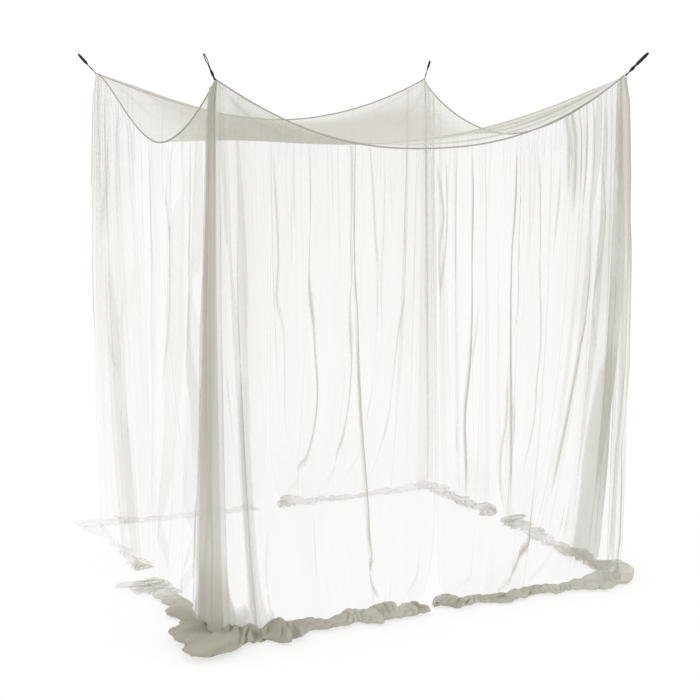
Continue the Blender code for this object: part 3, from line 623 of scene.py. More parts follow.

# %% [markdown]
# ## Creases placed one by one
# A crease is a narrow line where the cloth is pinched: round it the net is drawn in, stands
# proud and is denser, and where it holds many layers the net's finish paints shade along it.
# Each line of CREASES has its side, its places as (drop, cloth), its width in millimetres and
# its extra layers.

# %% Creases of each wall
CREASES = {
    "front_left": (
        (0, ((0.18, 0.058), (1.00, 0.052)), 9, 4.0),
        (0, ((0.45, 0.075), (0.66, 0.102)), 8, 2.7),
        (0, ((0.00, 0.700), (0.20, 0.694), (0.33, 0.676), (0.75, 0.670), (0.84, 0.670),
             (0.91, 0.694), (0.98, 0.728)), 9, 16.0),
        (0, ((0.00, 0.674), (0.18, 0.673), (0.30, 0.673)), 8, 6.8),
        (0, ((0.03, 0.362), (0.10, 0.360), (0.25, 0.360), (0.40, 0.354), (0.52, 0.362)), 9, 5.1),
        (0, ((0.02, 0.450), (0.18, 0.445)), 10, 4.4),
        (0, ((0.04, 0.810), (0.28, 0.774), (0.40, 0.772)), 8, 2.7),
        (0, ((0.03, 0.755), (0.28, 0.772)), 8, 2.7),
        (0, ((0.75, 0.455), (0.90, 0.438)), 9, 2.7),
        (0, ((0.78, 0.240), (0.86, 0.222), (1.00, 0.225)), 9, 3.7),
        (0, ((0.87, 0.940), (0.93, 0.926), (0.97, 0.885)), 10, 6.8),
        (0, ((0.92, 0.772), (0.97, 0.768)), 9, 4.1),
        (0, ((0.50, 0.165), (1.00, 0.166)), 9, 6.8),
        (1, ((0.05, 0.605), (0.20, 0.650), (0.30, 0.652), (0.42, 0.643), (0.54, 0.622)), 14, 3.1),
        (1, ((0.80, 0.320), (0.93, 0.350)), 12, 1.7),
        (1, ((0.00, 0.190), (1.00, 0.190)), 9, 3.4),
    ),
    "front_right": (
        (0, ((0.03, 0.884), (0.22, 0.894), (0.27, 0.900), (0.49, 0.898), (0.64, 0.891),
             (0.76, 0.886), (0.86, 0.881), (0.94, 0.878)), 10, 15.3),
        (0, ((0.03, 0.850), (0.16, 0.856), (0.25, 0.871), (0.41, 0.872), (0.49, 0.886)), 8, 7.6),
        (0, ((0.60, 0.954), (0.74, 0.957), (0.80, 0.964), (0.86, 0.969), (0.92, 0.971),
             (0.98, 0.968)), 9, 5.0),
        (0, ((0.05, 0.720), (0.12, 0.710), (0.21, 0.700), (0.35, 0.669), (0.44, 0.650),
             (0.52, 0.639), (0.61, 0.640), (0.70, 0.630), (0.78, 0.641), (0.84, 0.650)), 9, 6.8),
        (0, ((0.10, 0.594), (0.20, 0.598), (0.31, 0.607)), 9, 6.1),
        (0, ((0.30, 0.335), (0.33, 0.338), (0.46, 0.344), (0.57, 0.352), (0.73, 0.360),
             (0.87, 0.363)), 12, 10.2),
        (0, ((0.10, 0.264), (0.25, 0.238), (0.37, 0.213), (0.46, 0.194), (0.53, 0.180)), 10, 6.8),
        (0, ((0.18, 0.098), (0.26, 0.142)), 16, 8.5),
        (0, ((0.00, 0.550), (0.17, 0.548)), 16, 5.8),
        (0, ((0.00, 0.500), (0.21, 0.498)), 25, 7.1),
        (0, ((0.00, 0.444), (0.17, 0.444)), 16, 5.8),
        (0, ((0.00, 0.392), (0.23, 0.388)), 16, 6.8),
        (0, ((0.00, 0.345), (0.17, 0.342)), 14, 5.1),
        (0, ((0.90, 0.475), (0.95, 0.474)), 10, 4.1),
        (0, ((0.87, 0.272), (0.96, 0.270)), 10, 5.1),
        (1, ((0.78, 0.478), (0.866, 0.506), (0.915, 0.545), (0.955, 0.602), (0.98, 0.660)), 12, 36.0),
        (1, ((0.86, 0.800), (0.92, 0.836), (0.965, 0.900)), 10, 5.1),
        (1, ((0.90, 0.360), (0.95, 0.400), (0.98, 0.450)), 10, 4.1),
        (1, ((0.79, 0.318), (0.87, 0.324)), 9, 5.1),
        (1, ((0.30, 0.022), (0.98, 0.030)), 9, 7.0),
        (1, ((0.36, 0.056), (0.98, 0.052)), 9, 4.5),
        (0, ((0.24, 0.006), (1.00, 0.008)), 9, 9.0),
        (0, ((0.34, 0.040), (1.00, 0.036)), 9, 6.0),
    ),
    "back_right": (
        (0, ((0.06, 0.826), (0.20, 0.811), (0.39, 0.794), (0.57, 0.769), (0.735, 0.745),
             (0.82, 0.756), (0.90, 0.792), (0.94, 0.838), (0.97, 0.900)), 10, 10.2),
        (0, ((0.08, 0.602), (0.27, 0.588), (0.37, 0.581), (0.48, 0.556), (0.57, 0.544),
             (0.69, 0.531), (0.79, 0.535), (0.88, 0.556), (0.94, 0.600), (0.975, 0.650)), 10, 6.8),
        (0, ((0.08, 0.570), (0.27, 0.563), (0.46, 0.549)), 8, 4.4),
        (0, ((0.05, 0.490), (0.11, 0.487), (0.20, 0.469), (0.33, 0.449), (0.43, 0.412),
             (0.52, 0.395), (0.60, 0.388)), 9, 5.1),
        (0, ((0.12, 0.377), (0.40, 0.381)), 9, 3.7),
        (0, ((0.12, 0.340), (0.30, 0.306)), 9, 2.0),
        (0, ((0.10, 0.180), (0.30, 0.187), (0.46, 0.206), (0.61, 0.225), (0.74, 0.241),
             (0.86, 0.268), (0.94, 0.312)), 9, 5.1),
        (0, ((0.70, 0.387), (0.78, 0.400), (0.85, 0.420), (0.94, 0.500)), 9, 2.7),
        (0, ((0.08, 0.987), (0.35, 0.969), (0.46, 0.972), (0.53, 0.944), (0.65, 0.925),
             (0.78, 0.898), (0.81, 0.870)), 10, 5.1),
        (0, ((0.04, 0.900), (0.22, 0.894), (0.36, 0.886)), 9, 4.4),
        (0, ((0.06, 0.720), (0.26, 0.702)), 9, 3.1),
        (1, ((0.14, 0.272), (0.29, 0.306), (0.37, 0.324), (0.50, 0.320)), 14, 5.1),
        (1, ((0.12, 0.370), (0.27, 0.374), (0.40, 0.350), (0.52, 0.324)), 14, 5.1),
        (1, ((0.78, 0.419), (0.88, 0.420)), 10, 4.1),
        (1, ((0.06, 0.563), (0.30, 0.562), (0.46, 0.560)), 12, 5.1),
        (1, ((0.08, 0.738), (0.25, 0.734), (0.41, 0.721), (0.52, 0.702), (0.65, 0.680),
             (0.78, 0.662), (0.84, 0.662), (0.97, 0.655)), 14, 13.6),
        (1, ((0.45, 0.764), (0.56, 0.744), (0.66, 0.712)), 10, 4.1),
        (1, ((0.05, 0.880), (0.19, 0.869), (0.28, 0.856)), 12, 2.0),
    ),
    "back_left": (
        (0, ((0.10, 0.285), (0.33, 0.238)), 18, 3.4),
        (0, ((0.52, 0.338), (0.62, 0.300)), 14, 3.4),
        (0, ((0.40, 0.712), (0.48, 0.690)), 14, 3.4),
        (1, ((0.02, 0.085), (0.35, 0.081)), 10, 6.1),
        (0, ((0.00, 0.012), (0.60, 0.012)), 9, 6.0),
        (1, ((0.04, 0.190), (0.26, 0.205)), 9, 2.4),
    ),
}
print("creases:", sum(len(lines) for lines in CREASES.values()))

# %% [markdown]
# ## Bending a wall
# A wall's points are found in four steps. First the cloth is spread along its side, a little
# closer at the corner, and each crease draws in the cloth round it. Then every point gets its
# place on the smooth wall between the tape and the floor. Then the folds and creases push it
# outwards. Last comes the hem: its rows follow a back-and-forth line with its own crumples.
# The share of the cloth against the width that it ends up covering gives the layers there.

# %% How the cloth runs along a side
FULLNESS = 1.42
BUNCH = 1.36
SWING_PEAK = 0.8


def side_run(wall, number, amount, drop):
    """How far along its side a share of the cloth hangs, at a share of the drop."""
    swing = wall["swing"][number] * drop ** 2.0
    return amount ** BUNCH + swing * np.sin(np.pi * amount ** SWING_PEAK)


def side_covers(wall, number, low, high, drop):
    """How much of its side the cloth between two places covers."""
    return side_run(wall, number, high, drop) - side_run(wall, number, low, drop)


def side_length(corner, name):
    """Length of a side at the floor, from its corner to its way in."""
    gap = np.array(WAYS_IN[name]["floor"]) - np.array(CORNERS[corner]["floor"])
    return float(np.linalg.norm(gap))


for corner, wall in WALLS.items():
    lengths = [round(side_length(corner, name), 2) for name in wall["sides"]]
    print(corner, "wall, its two sides at the floor in metres:", lengths)

# %% [markdown]
# ## The smooth wall
# Without its folds a wall is a smooth surface. Its top follows the tape, its foot follows a line
# on the floor, and it turns round the corner in a soft bend. Its two free edges are at the ways
# in, and low down each of them swings out to where its end lies on the floor in the photo.

# %% Places on the smooth wall
HANG_POWER = 1.1
TAPE_HIGH = 0.010
CORNER_TURN = 0.16
WAY_IN_TOP = 0.006
WAY_IN_MIDDLE = 0.008
WAY_IN_FLARE = 0.13
WAY_IN_POWER = 8.0


def outward_at(wall, cloth):
    """Level directions out of the net, turning smoothly round the corner."""
    sides = []
    for name in wall["sides"]:
        start, end = (top_of(corner)[:2] for corner in EDGES[name]["ends"])
        along = (end - start) / np.linalg.norm(end - start)
        square = np.array((along[1], -along[0]))
        sides.append(square * math.copysign(1.0, square @ (0.5 * (start + end))))
    turn = soft_step(-CORNER_TURN, CORNER_TURN, cloth)[..., None]
    outward = sides[0] * (1.0 - turn) + sides[1] * turn
    outward /= np.linalg.norm(outward, axis=-1, keepdims=True)
    return np.concatenate([outward, np.zeros_like(outward[..., :1])], axis=-1)


def side_base(corner, wall, number, amount, drop):
    """Points of one side of a wall before its folds."""
    name = wall["sides"][number]
    edge = EDGES[name]
    way_in = WAYS_IN[name]
    from_start = edge["ends"][0] == corner
    share = way_in["share"] if from_start else 1.0 - way_in["share"]
    run = side_run(wall, number, amount, drop)
    length = np.linalg.norm(top_of(edge["ends"][0]) - top_of(edge["ends"][1]))
    along = np.clip((share - 0.5 * WAY_IN_TOP / length) * run, 0.0, 1.0)
    top = edge_point(name, along if from_start else 1.0 - along)
    floor_corner = np.array((*CORNERS[corner]["floor"], 0.0))
    middle = np.array((*way_in["floor"], 0.0))
    floor_point = floor_corner + (middle - floor_corner) * run[..., None]
    down = drop ** HANG_POWER
    point = top + (floor_point - top) * down[..., None]
    point[..., 2] = (top[..., 2] - 0.5 * TAPE_HIGH) * (1.0 - drop)
    away = (floor_corner - middle) / np.linalg.norm(floor_corner - middle)
    near_floor = np.exp(-point[..., 2:] / WAY_IN_FLARE)
    apart = (np.array((*wall["ends"][number], 0.0)) - middle) * near_floor
    apart = apart + away * (0.5 * WAY_IN_MIDDLE * drop)[..., None]
    return point + apart * (amount ** WAY_IN_POWER)[..., None]


# %% [markdown]
# ## Main folds and soft folds
# A fold of netting holds more cloth than the width that it covers, and how much more sets how
# deep it stands: about a quarter of the square root of cloth squared less width squared. The
# main folds are the solids' own. A soft fold is far shallower, leans over a little, and comes
# and goes on its way down. A seeded generator places them, finer towards the corner.

# %% How the folds of a side stand out
FOLD_DEEPEST = 0.036
DEPTH_UNEVEN = 0.35
CORNER_FULL = (0.04, 0.30)
CORNER_NOTCH = 0.75
CORNER_STANDS = 0.45
SOFT_FOLD_WIDE = (0.030, 0.060)
SOFT_FOLD_DEEP = (0.005, 0.012)
SOFT_FOLD_LAP = (0.05, 0.14)
SOFT_FOLD_WANDER = 0.008
MOST_STRETCHED = 0.97


def side_folds(corner, wall, number, amount, drop):
    """How the main folds stand out of a side: outwards, and towards the way in."""
    starts = np.array(wall["folds"][number])
    fold = np.clip(np.searchsorted(starts, amount, side="right") - 1, 0, len(starts) - 2)
    width = starts[fold + 1] - starts[fold]
    phase = (amount - starts[fold]) / width
    length = side_length(corner, wall["sides"][number])
    covers = side_covers(wall, number, starts[fold], starts[fold + 1], drop)
    cloth_width = length * width * FULLNESS
    spare = cloth_width ** 2 - np.minimum(length * covers, MOST_STRETCHED * cloth_width) ** 2
    depth = np.minimum(0.25 * np.sqrt(spare), FOLD_DEEPEST)
    depth = depth * (1.0 + DEPTH_UNEVEN * np.sin(2.4 * fold + wall["seed"] + number))
    deeper = np.ones(len(starts) - 1)
    lean = np.zeros(len(starts) - 1)
    for (side, index), (extra, leaning) in wall["deep"].items():
        if side == number:
            deeper[index] = extra
            lean[index] = leaning
    crown = np.sin(2.0 * np.pi * phase)
    first_rise = (fold == 0) & (phase < 0.25)
    crown = np.where(first_rise, CORNER_NOTCH + (1.0 - CORNER_NOTCH) * crown, crown)
    at_corner = 1.0 - soft_step(*CORNER_FULL, amount)
    depth = depth * np.where(crown > 0.0, deeper[fold], 1.0)
    return depth * (crown + CORNER_STANDS * at_corner), lean[fold] * depth * np.maximum(crown, 0.0)


def soft_folds(corner, wall, number, amount, drop):
    """How the many shallow folds between the main ones stand out, and how far they lean."""
    chance = np.random.RandomState(90 + 7 * wall["seed"] + number)
    narrow, widening = SOFT_FOLD_WIDE
    starts = [0.0]
    while starts[-1] < 1.0:
        starts.append(starts[-1] + chance.uniform(0.6, 1.4) * (narrow + widening * starts[-1]))
    starts = np.array(starts) / starts[-1]
    count = len(starts) - 1
    deep = chance.uniform(*SOFT_FOLD_DEEP, count)
    lap = chance.uniform(*SOFT_FOLD_LAP, count)
    lap = lap * np.where(chance.uniform(size=count) < 0.5, -1.0, 1.0)
    speed = chance.uniform(1.5, 4.0, count)
    turn = chance.uniform(0.0, 2.0 * math.pi, count)
    wander = SOFT_FOLD_WANDER * uneven(1.6 * drop + 3.0 * amount, wall["seed"])
    wandered = np.clip(amount + wander, 0.0, 1.0)
    fold = np.clip(np.searchsorted(starts, wandered, side="right") - 1, 0, count - 1)
    width = starts[fold + 1] - starts[fold]
    crown = np.sin(2.0 * np.pi * (wandered - starts[fold]) / width)
    life = 0.62 + 0.38 * np.sin(speed[fold] * drop + turn[fold])
    length = side_length(corner, wall["sides"][number])
    covers = side_covers(wall, number, starts[fold], starts[fold + 1], drop)
    return deep[fold] * crown * life, lap[fold] * length * covers * crown * life


# %% [markdown]
# ## Short gathers under the tape
# Where the netting is sewn to the tape, its spare cloth is eased in as small pleats that fade
# out a hand's breadth or two below. They are too many to place one by one, so a seeded random
# generator spaces them unevenly, and gives each its own length. The seed keeps them the same
# in every run. They have the same form as the creases that are listed one by one.

# %% Small gathers under the tape
GATHER_APART = (0.022, 0.065)
GATHER_LONG = (0.03, 0.12)
GATHER_LONGER = (0.05, 0.22)
GATHER_LEAN = 0.008
GATHER_WIDE = (8, 14)
GATHER_LAYERS = (0.4, 1.8)


def small_gathers(wall, number):
    """Crease lines of the short gathers of one side, in the same form as the listed ones."""
    chance = np.random.RandomState(40 + 7 * wall["seed"] + number)
    lines = []
    place = 0.02
    while place < 0.99:
        long = chance.uniform(*GATHER_LONG)
        long = long + (chance.uniform() < 0.3) * chance.uniform(*GATHER_LONGER)
        lean = chance.uniform(-GATHER_LEAN, GATHER_LEAN)
        path = ((0.0, place), (long, place + lean))
        lines.append((number, path, chance.uniform(*GATHER_WIDE), chance.uniform(*GATHER_LAYERS)))
        place += chance.uniform(*GATHER_APART)
    return lines


gather_count = sum(len(small_gathers(wall, number)) for wall in WALLS.values() for number in (0, 1))
print("short gathers under the tape:", gather_count)

# %% [markdown]
# ## From a line to cloth
# The lines of PLEATS and CREASES are given at a few drops only. One helper joins those places
# with a smooth curve, and another lets a line start and end softly. A crease is then a narrow
# rounded bump: it draws in the cloth beside it, stands proud, and is denser. Where its line
# slants across the rows of the sheet it is drawn wider and paler, so that no row steps in it.

# %% Shapes of creases and flat pleats
HANG_ROWS = 88
CREASE_PINCH = 0.5
CREASE_PROUD = 0.6
CREASE_SLANT = 1.6
CREASE_HALF = 0.37
CREASE_DENSE = 2.4
PLEAT_PROUD = 0.005
PLEAT_UNEVEN = 0.22


def smooth_line(drop, drops, places):
    """Places along a smooth line that is given at some drops, and straight beyond them."""
    slopes = np.gradient(places, drops)
    piece = np.clip(np.searchsorted(drops, drop, side="right") - 1, 0, len(drops) - 2)
    gap = drops[piece + 1] - drops[piece]
    step = np.clip((drop - drops[piece]) / gap, 0.0, 1.0)
    turned = step * step * (3.0 - 2.0 * step)
    leave = step * (1.0 - step) ** 2 * gap * slopes[piece]
    arrive = step ** 2 * (step - 1.0) * gap * slopes[piece + 1]
    return places[piece] * (1.0 - turned) + places[piece + 1] * turned + leave + arrive


def line_fade(drop, drops):
    """1 along a line, fading out where it starts or ends part of the way down."""
    fade = np.ones_like(drop)
    if drops[0] > 0.0:
        fade = fade * soft_step(drops[0] - 0.02, drops[0] + 0.08, drop)
    if drops[-1] < 1.0:
        span = np.clip(0.3 * (drops[-1] - drops[0]), 0.02, 0.10)
        fade = fade * (1.0 - soft_step(drops[-1] - span, drops[-1] + 0.3 * span, drop))
    return fade


def crease_shapes(lines, number, length, amount, drop):
    """How the creases of one side draw the cloth in, stand out, and add layers."""
    draw = np.zeros(np.broadcast(amount, drop).shape)
    height = np.zeros_like(draw)
    layers = np.zeros_like(draw)
    for side, path, wide, extra in lines:
        if side != number:
            continue
        drops, places = (np.array(values) for values in zip(*path))
        middle = smooth_line(drop, drops, places)
        ahead = smooth_line(drop + 1.0 / HANG_ROWS, drops, places)
        shift = 1000.0 * length * np.abs(ahead - middle)
        drawn_wide = np.sqrt(wide ** 2 + (CREASE_SLANT * shift) ** 2)
        from_middle = (amount - middle) / (CREASE_HALF * drawn_wide / 1000.0 / length)
        bump = np.exp(-from_middle ** 2) * line_fade(drop, drops)
        draw -= CREASE_PINCH * (amount - middle) * bump
        height += CREASE_PROUD * wide / 1000.0 * bump
        layers += CREASE_DENSE * extra * bump * wide / drawn_wide
    return draw, height, layers


def pleat_shapes(lines, number, length, amount, drop):
    """How the flat pleats of one side stand out, and the layers that they add."""
    height = np.zeros(np.broadcast(amount, drop).shape)
    layers = np.zeros_like(height)
    for side, path, extra, soft in lines:
        if side != number:
            continue
        drops, lows, highs = (np.array(values) for values in zip(*path))
        low = smooth_line(drop, drops, lows)
        high = smooth_line(drop, drops, highs)
        edge = 0.5 * soft / 1000.0 / length
        inside = soft_step(low - edge, low + edge, amount)
        inside = inside * (1.0 - soft_step(high - edge, high + edge, amount)) * line_fade(drop, drops)
        height += PLEAT_PROUD * inside
        uneven_here = ripple(amount * 40.0 + 9.0 * extra, drop * 5.0, int(100 * lows[0]) % 97 + 3)
        layers += extra * inside * (1.0 + PLEAT_UNEVEN * uneven_here)
    return height, layers


# %% [markdown]
# ## The heaped hem
# Past the floor the cloth folds back and forth, so the hem's rows follow a line that goes out,
# up over the top, back in and down again. The heap is a soft roll with three sizes of crumple:
# slow lobes, lumps with tight valleys between them, and a finer wrinkle. Where the hem is
# piled up at a corner or a way in, both its reach and its height grow, and it tapers at its ends.

# %% Size and crumples of the hem
# each point is (out, high) as shares of the hem's reach and height, and how full the folds are
HEM_PATH = (
    (0.00, 1.50, 0.75), (0.00, 0.80, 0.55), (0.10, 0.20, 0.40), (0.55, 0.08, 0.30),
    (0.96, 0.28, 0.30), (0.90, 0.78, 0.30), (0.40, 1.00, 0.30), (-0.22, 0.80, 0.30),
    (-0.50, 0.40, 0.30), (-0.10, 0.12, 0.30),
)
HEM_ROWS = 46
HEM_UNEVEN = 0.28
PILE_FROM = 0.70
PILE_FULL = 0.92
END_SPREAD = 0.050
HEM_EASE = 9.0
HEM_LOW = 0.90
HEM_ROW_STEP = 0.16
HEM_STRAY = 0.006
LOBE = 0.30
LOBES_ALONG = 15.0
LUMP = 0.24
LUMPS_ALONG = 33.0
LUMP_HIGH = 0.8
WRINKLE = 0.115
WRINKLES_ALONG = 84.0
END_TAPER = 0.55
END_TAPER_FROM = 0.955
CORNER_INNER = (0.02, 0.25)
NO_DIP = (0.0, 1.0, 0.0)


def smooth_path(points, count):
    """Points spaced evenly along a smooth line through the given ones."""
    points = np.array(points, float)
    padded = np.vstack([2.0 * points[0] - points[1], points, 2.0 * points[-1] - points[-2]])
    place = np.linspace(0.0, len(points) - 1.0, count)
    piece = np.minimum(place.astype(int), len(points) - 2)
    step = (place - piece)[:, None]
    a, b, c, d = (padded[piece + k] for k in range(4))
    bend = (2.0 * a - 5.0 * b + 4.0 * c - d) * step ** 2
    twist = (3.0 * b - 3.0 * c + d - a) * step ** 3
    return 0.5 * (2.0 * b + (c - a) * step + bend + twist)


def hem_size(wall, cloth):
    """Reach and height of the heaped hem along a wall."""
    number = (cloth >= 0.0).astype(int)
    heap = wall["heap"]
    at_end = soft_step(PILE_FROM, PILE_FULL, np.abs(cloth))
    at_heap = 1.0 - soft_step(0.25 * heap["wide"], heap["wide"], np.abs(cloth - heap["middle"]))
    middle, wide, share = wall.get("dip", NO_DIP)
    dip = 1.0 - share * np.exp(-((cloth - middle) / wide) ** 2)
    sizes = []
    for index, (key, quick) in enumerate((("reach", 4.0), ("high", 5.0))):
        roll = np.array([side[index] for side in wall["roll"]])[number]
        pile = np.array([side[index] for side in wall["pile"]])[number]
        size = roll + (pile - roll) * at_end
        size = (size + (heap[key] - size) * at_heap) * dip
        sizes.append(size * (1.0 + HEM_UNEVEN * uneven(quick * cloth, wall["seed"] + 5 * index)))
    return sizes


def tight_valleys(across, down, seed):
    """Rounded crumples from about -1 to 1 with narrow valleys between them."""
    return 1.0 - 2.0 * np.minimum(np.abs(ripple(across, down, seed)), 1.0)


def hem_shape(wall, sign, amount, step, hem):
    """How far out each row of the heaped hem lies, how high, and how it strays along the wall."""
    signed = sign * amount
    seed = wall["seed"]
    eased = soft_step(0.0, HEM_EASE, step)
    down = step * HEM_ROW_STEP
    lobe = tight_valleys(signed * LOBES_ALONG, down * 0.5, seed + 20)
    lump = tight_valleys(signed * LUMPS_ALONG, down, seed)
    wrinkle = tight_valleys(signed * WRINKLES_ALONG, down * 2.4, seed + 50)
    taper = 1.0 - END_TAPER * soft_step(END_TAPER_FROM, 1.0, amount)
    inner = soft_step(*CORNER_INNER, amount)
    out = np.where(hem[step, 0] > 0.0, hem[step, 0], hem[step, 0] * inner)
    out = out * (1.0 + (LOBE * lobe - LUMP * lump) * eased)
    out = (out - WRINKLE * wrinkle * eased) * taper
    level = HEM_LOW * hem[step, 1] * (1.0 - LUMP_HIGH * LUMP * lump * eased)
    level = (level - WRINKLE * wrinkle * eased) * taper
    spread = END_SPREAD * soft_step(PILE_FROM, 1.0, amount) * sign
    stray = spread * soft_step(1.1, 0.6, hem[step, 1])
    stray = stray + HEM_STRAY * ripple(signed * 42.0, down, seed + 9) * eased
    return out, np.maximum(level, 0.0), stray


for corner, wall in WALLS.items():
    most = [round(size.max(), 3) for size in hem_size(wall, np.linspace(-1.0, 1.0, 81))]
    print(corner, "hem at its largest, reach and height in metres:", most)

# %% [markdown]
# ## How many layers there are
# How dense the net looks at a place is the width of cloth that hangs there against the width
# that it covers. Towards a corner the cloth crowds, so the share rises. In the hem the cloth
# lies on itself many times over, and it gets the wall's own number of layers as well.

# %% Layers at each point
CROWD_STEP = 0.002
CROWD_LEAST = 0.8
CROWD_MOST = 1.8
CLOTH_UNEVEN = 0.14
TOP_CLOSER = 1.75
FOOT_CLOSER = 0.62
HEM_DENSE = (5.0, 10.0)
HEM_CHANGES = (0.10, 0.52)
HEM_PATCHY = 0.45
HEM_THINNEST = 0.3


def crowd_at(wall, number, amount, drop):
    """Width of cloth against the width of wall that it covers."""
    above = np.minimum(amount + CROWD_STEP, 1.0)
    below = np.maximum(amount - CROWD_STEP, 0.0)
    covers = side_covers(wall, number, below, above, drop)
    return np.clip(FULLNESS * (above - below) / np.maximum(covers, 1e-4), CROWD_LEAST, CROWD_MOST)


def hanging_layers(wall, number, amount, drop):
    """Layers of netting that hang at each place, before its creases and pleats."""
    cloudy = 1.0 + CLOTH_UNEVEN * ripple(amount * 26.0, drop * 3.0, wall["seed"] + 70 + number)
    spread = wall["sheer"][number] * (TOP_CLOSER + (FOOT_CLOSER - TOP_CLOSER) * drop)
    return crowd_at(wall, number, amount, drop) * cloudy * spread


def with_hem(wall, number, layers, amount, row, step):
    """The same layers, changed in the rows that lie in the heaped hem."""
    dense = soft_step(*HEM_DENSE, row - HANG_ROWS)
    at_corner, at_way_in = wall["hem_layers"][number]
    in_hem = at_corner + (at_way_in - at_corner) * soft_step(*HEM_CHANGES, amount)
    in_hem = in_hem * (1.0 + HEM_PATCHY * ripple(amount * 22.0, step * 0.10, wall["seed"] + 31))
    share = 1.0 + (wall["hem_share"] - 1.0) * dense
    return layers * share + np.maximum(in_hem, HEM_THINNEST) * dense


for corner, wall in WALLS.items():
    middle = [round(float(hanging_layers(wall, number, 0.5, 0.5)), 2) for number in (0, 1)]
    print(corner, "wall, layers half way along and half way down its sides:", middle)

# %% [markdown]
# ## One side of a wall
# A side is a grid of rows and columns: the first rows hang, closer together at the top and the
# foot, and the last ones lie in the hem. The main folds start flat under the tape, are full
# from a little above the middle, and ease a little at the foot. The two sides of a wall are
# one length of cloth, so `sign` turns what points towards the way in.

# %% Points and layers of one side
COLUMNS = 370
ROWS_CLOSER = 0.05
FOOT_ABOVE = 1.5
GATHER_TOP = 0.004
FULL_DROPS = (0.0, 0.05, 0.42, 0.80, 1.0)
FULL_SHARES = (0.0, 0.45, 1.0, 1.0, 0.75)
CREASE_LEAST = 0.3
SOFT_FOLDS_END = (-6.0, 2.0)
SOFT_FOLDS_LOSE = 0.9
ABOVE_FLOOR = 0.0015


def side_surface(corner, number):
    """Points, gathered layers and places on the cloth of one side of a wall."""
    wall = WALLS[corner]
    sign = (-1.0, 1.0)[number]
    amount = np.linspace(0.0, 1.0, COLUMNS)[None, :]
    hem = smooth_path(HEM_PATH, HEM_ROWS)[1:]
    hang = np.linspace(0.0, 1.0, HANG_ROWS)
    hang = hang - ROWS_CLOSER * np.sin(2.0 * np.pi * hang)
    row = np.arange(HANG_ROWS + len(hem))[:, None]
    in_hem = row >= HANG_ROWS
    step = np.clip(row - HANG_ROWS, 0, len(hem) - 1)
    reach, high = hem_size(wall, sign * amount)
    end_drop = 1.0 - FOOT_ABOVE * high / edge_point(wall["sides"][number], 0.5)[2]
    drop = np.where(in_hem, 1.0, hang[np.minimum(row, HANG_ROWS - 1)] * end_drop)
    full = np.concatenate([np.interp(hang, FULL_DROPS, FULL_SHARES), hem[:, 2]])[:, None]
    length = side_length(corner, wall["sides"][number]) * FULLNESS

    lines = [*CREASES[corner], *small_gathers(wall, number)]
    draw, crease_high, crease_layers = crease_shapes(lines, number, length, amount, drop)
    pleat_high, pleat_layers = pleat_shapes(PLEATS[corner], number, length, amount, drop)
    drawn = np.clip(amount + draw, 0.0, 1.0)
    base = side_base(corner, wall, number, drawn, drop)
    out, along = side_folds(corner, wall, number, drawn, drop)
    out = out * full + GATHER_TOP * np.sign(out) * (1.0 - full) * 0.5
    out = out + (crease_high + pleat_high) * np.minimum(full + CREASE_LEAST, 1.0)
    soft_out, soft_along = soft_folds(corner, wall, number, drawn, drop)
    calm = 1.0 - SOFT_FOLDS_LOSE * soft_step(*SOFT_FOLDS_END, row - HANG_ROWS)
    hem_out, level, stray = hem_shape(wall, sign, amount, step, hem)
    out = out + soft_out * calm + np.where(in_hem, hem_out * reach, 0.0)
    along = along * full * sign + soft_along * calm * sign + np.where(in_hem, stray, 0.0)
    outward = outward_at(wall, sign * amount * np.ones_like(drop))
    towards = np.stack([outward[..., 1], -outward[..., 0], np.zeros_like(out)], axis=-1)
    point = base + outward * out[..., None] + towards * along[..., None]
    point[..., 2] = np.where(in_hem, ABOVE_FLOOR + level * high, point[..., 2])

    layers = hanging_layers(wall, number, amount, drop) + crease_layers + pleat_layers
    layers = with_hem(wall, number, layers, amount, row, step)
    return point, layers, sign * length * amount * np.ones_like(out)


# %% [markdown]
# ## Sew the two sides of each wall together
# The sides meet at the corner in one length of cloth, so their arrays are joined there before
# the sheet is made. Its UV map is the cloth laid flat: metres across, and metres down along
# the folds and the hem. The two free edges at the ways in have a narrow sewn hem, which shows
# as a little more cloth along the edge.

# %% Build the walls
SEWN_WIDE = 0.006
SEWN_LAYERS = 1.2


def join_sides(left, right):
    """One array from the two sides of a wall, from one way in to the other."""
    return np.concatenate([left[:, ::-1], right[:, 1:]], axis=1)


def make_wall(corner):
    """One length of netting, from its gathers under the tape to its heaped hem."""
    left, right = (side_surface(corner, number) for number in (0, 1))
    points, layers, cloth_across = (join_sides(*pair) for pair in zip(left, right))
    steps = np.linalg.norm(np.diff(points, axis=0), axis=-1).mean(axis=1)
    cloth_down = np.concatenate([[0.0], np.cumsum(steps)])[:, None] * np.ones_like(cloth_across)
    widest = np.abs(cloth_across).max(axis=1, keepdims=True)
    sewn = np.abs(cloth_across) > widest - SEWN_WIDE
    cloth = np.stack([cloth_across, cloth_down], axis=-1)
    sheet = grid_sheet("netting_" + corner, points, cloth, layers + SEWN_LAYERS * sewn, wall_netting)
    return sheet, cloth


for corner in WALLS:
    sheet, cloth = make_wall(corner)
    wide = np.ptp(cloth[..., 0])
    long = np.ptp(cloth[..., 1])
    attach(sheet, "root")
    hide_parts("wall_panel_" + corner)
    print(corner, "wall, cloth laid flat in metres:", round(wide, 2), "by", round(long, 2))

# %% [markdown]
# ## The roof
# The roof is one square of the same net, sewn into the tape and hung from four corners. Its
# points are filled in from its four edges, and its height follows the sag of both pairs of
# edges, so it hangs lowest in the middle. Seen almost edge-on it looks denser than the walls,
# so in its finish each layer hides more.

# %% Shape of the roof
ROOF_STEPS = 184
ROOF_BLEND = 4.6
ROOF_SIDE = 2.0


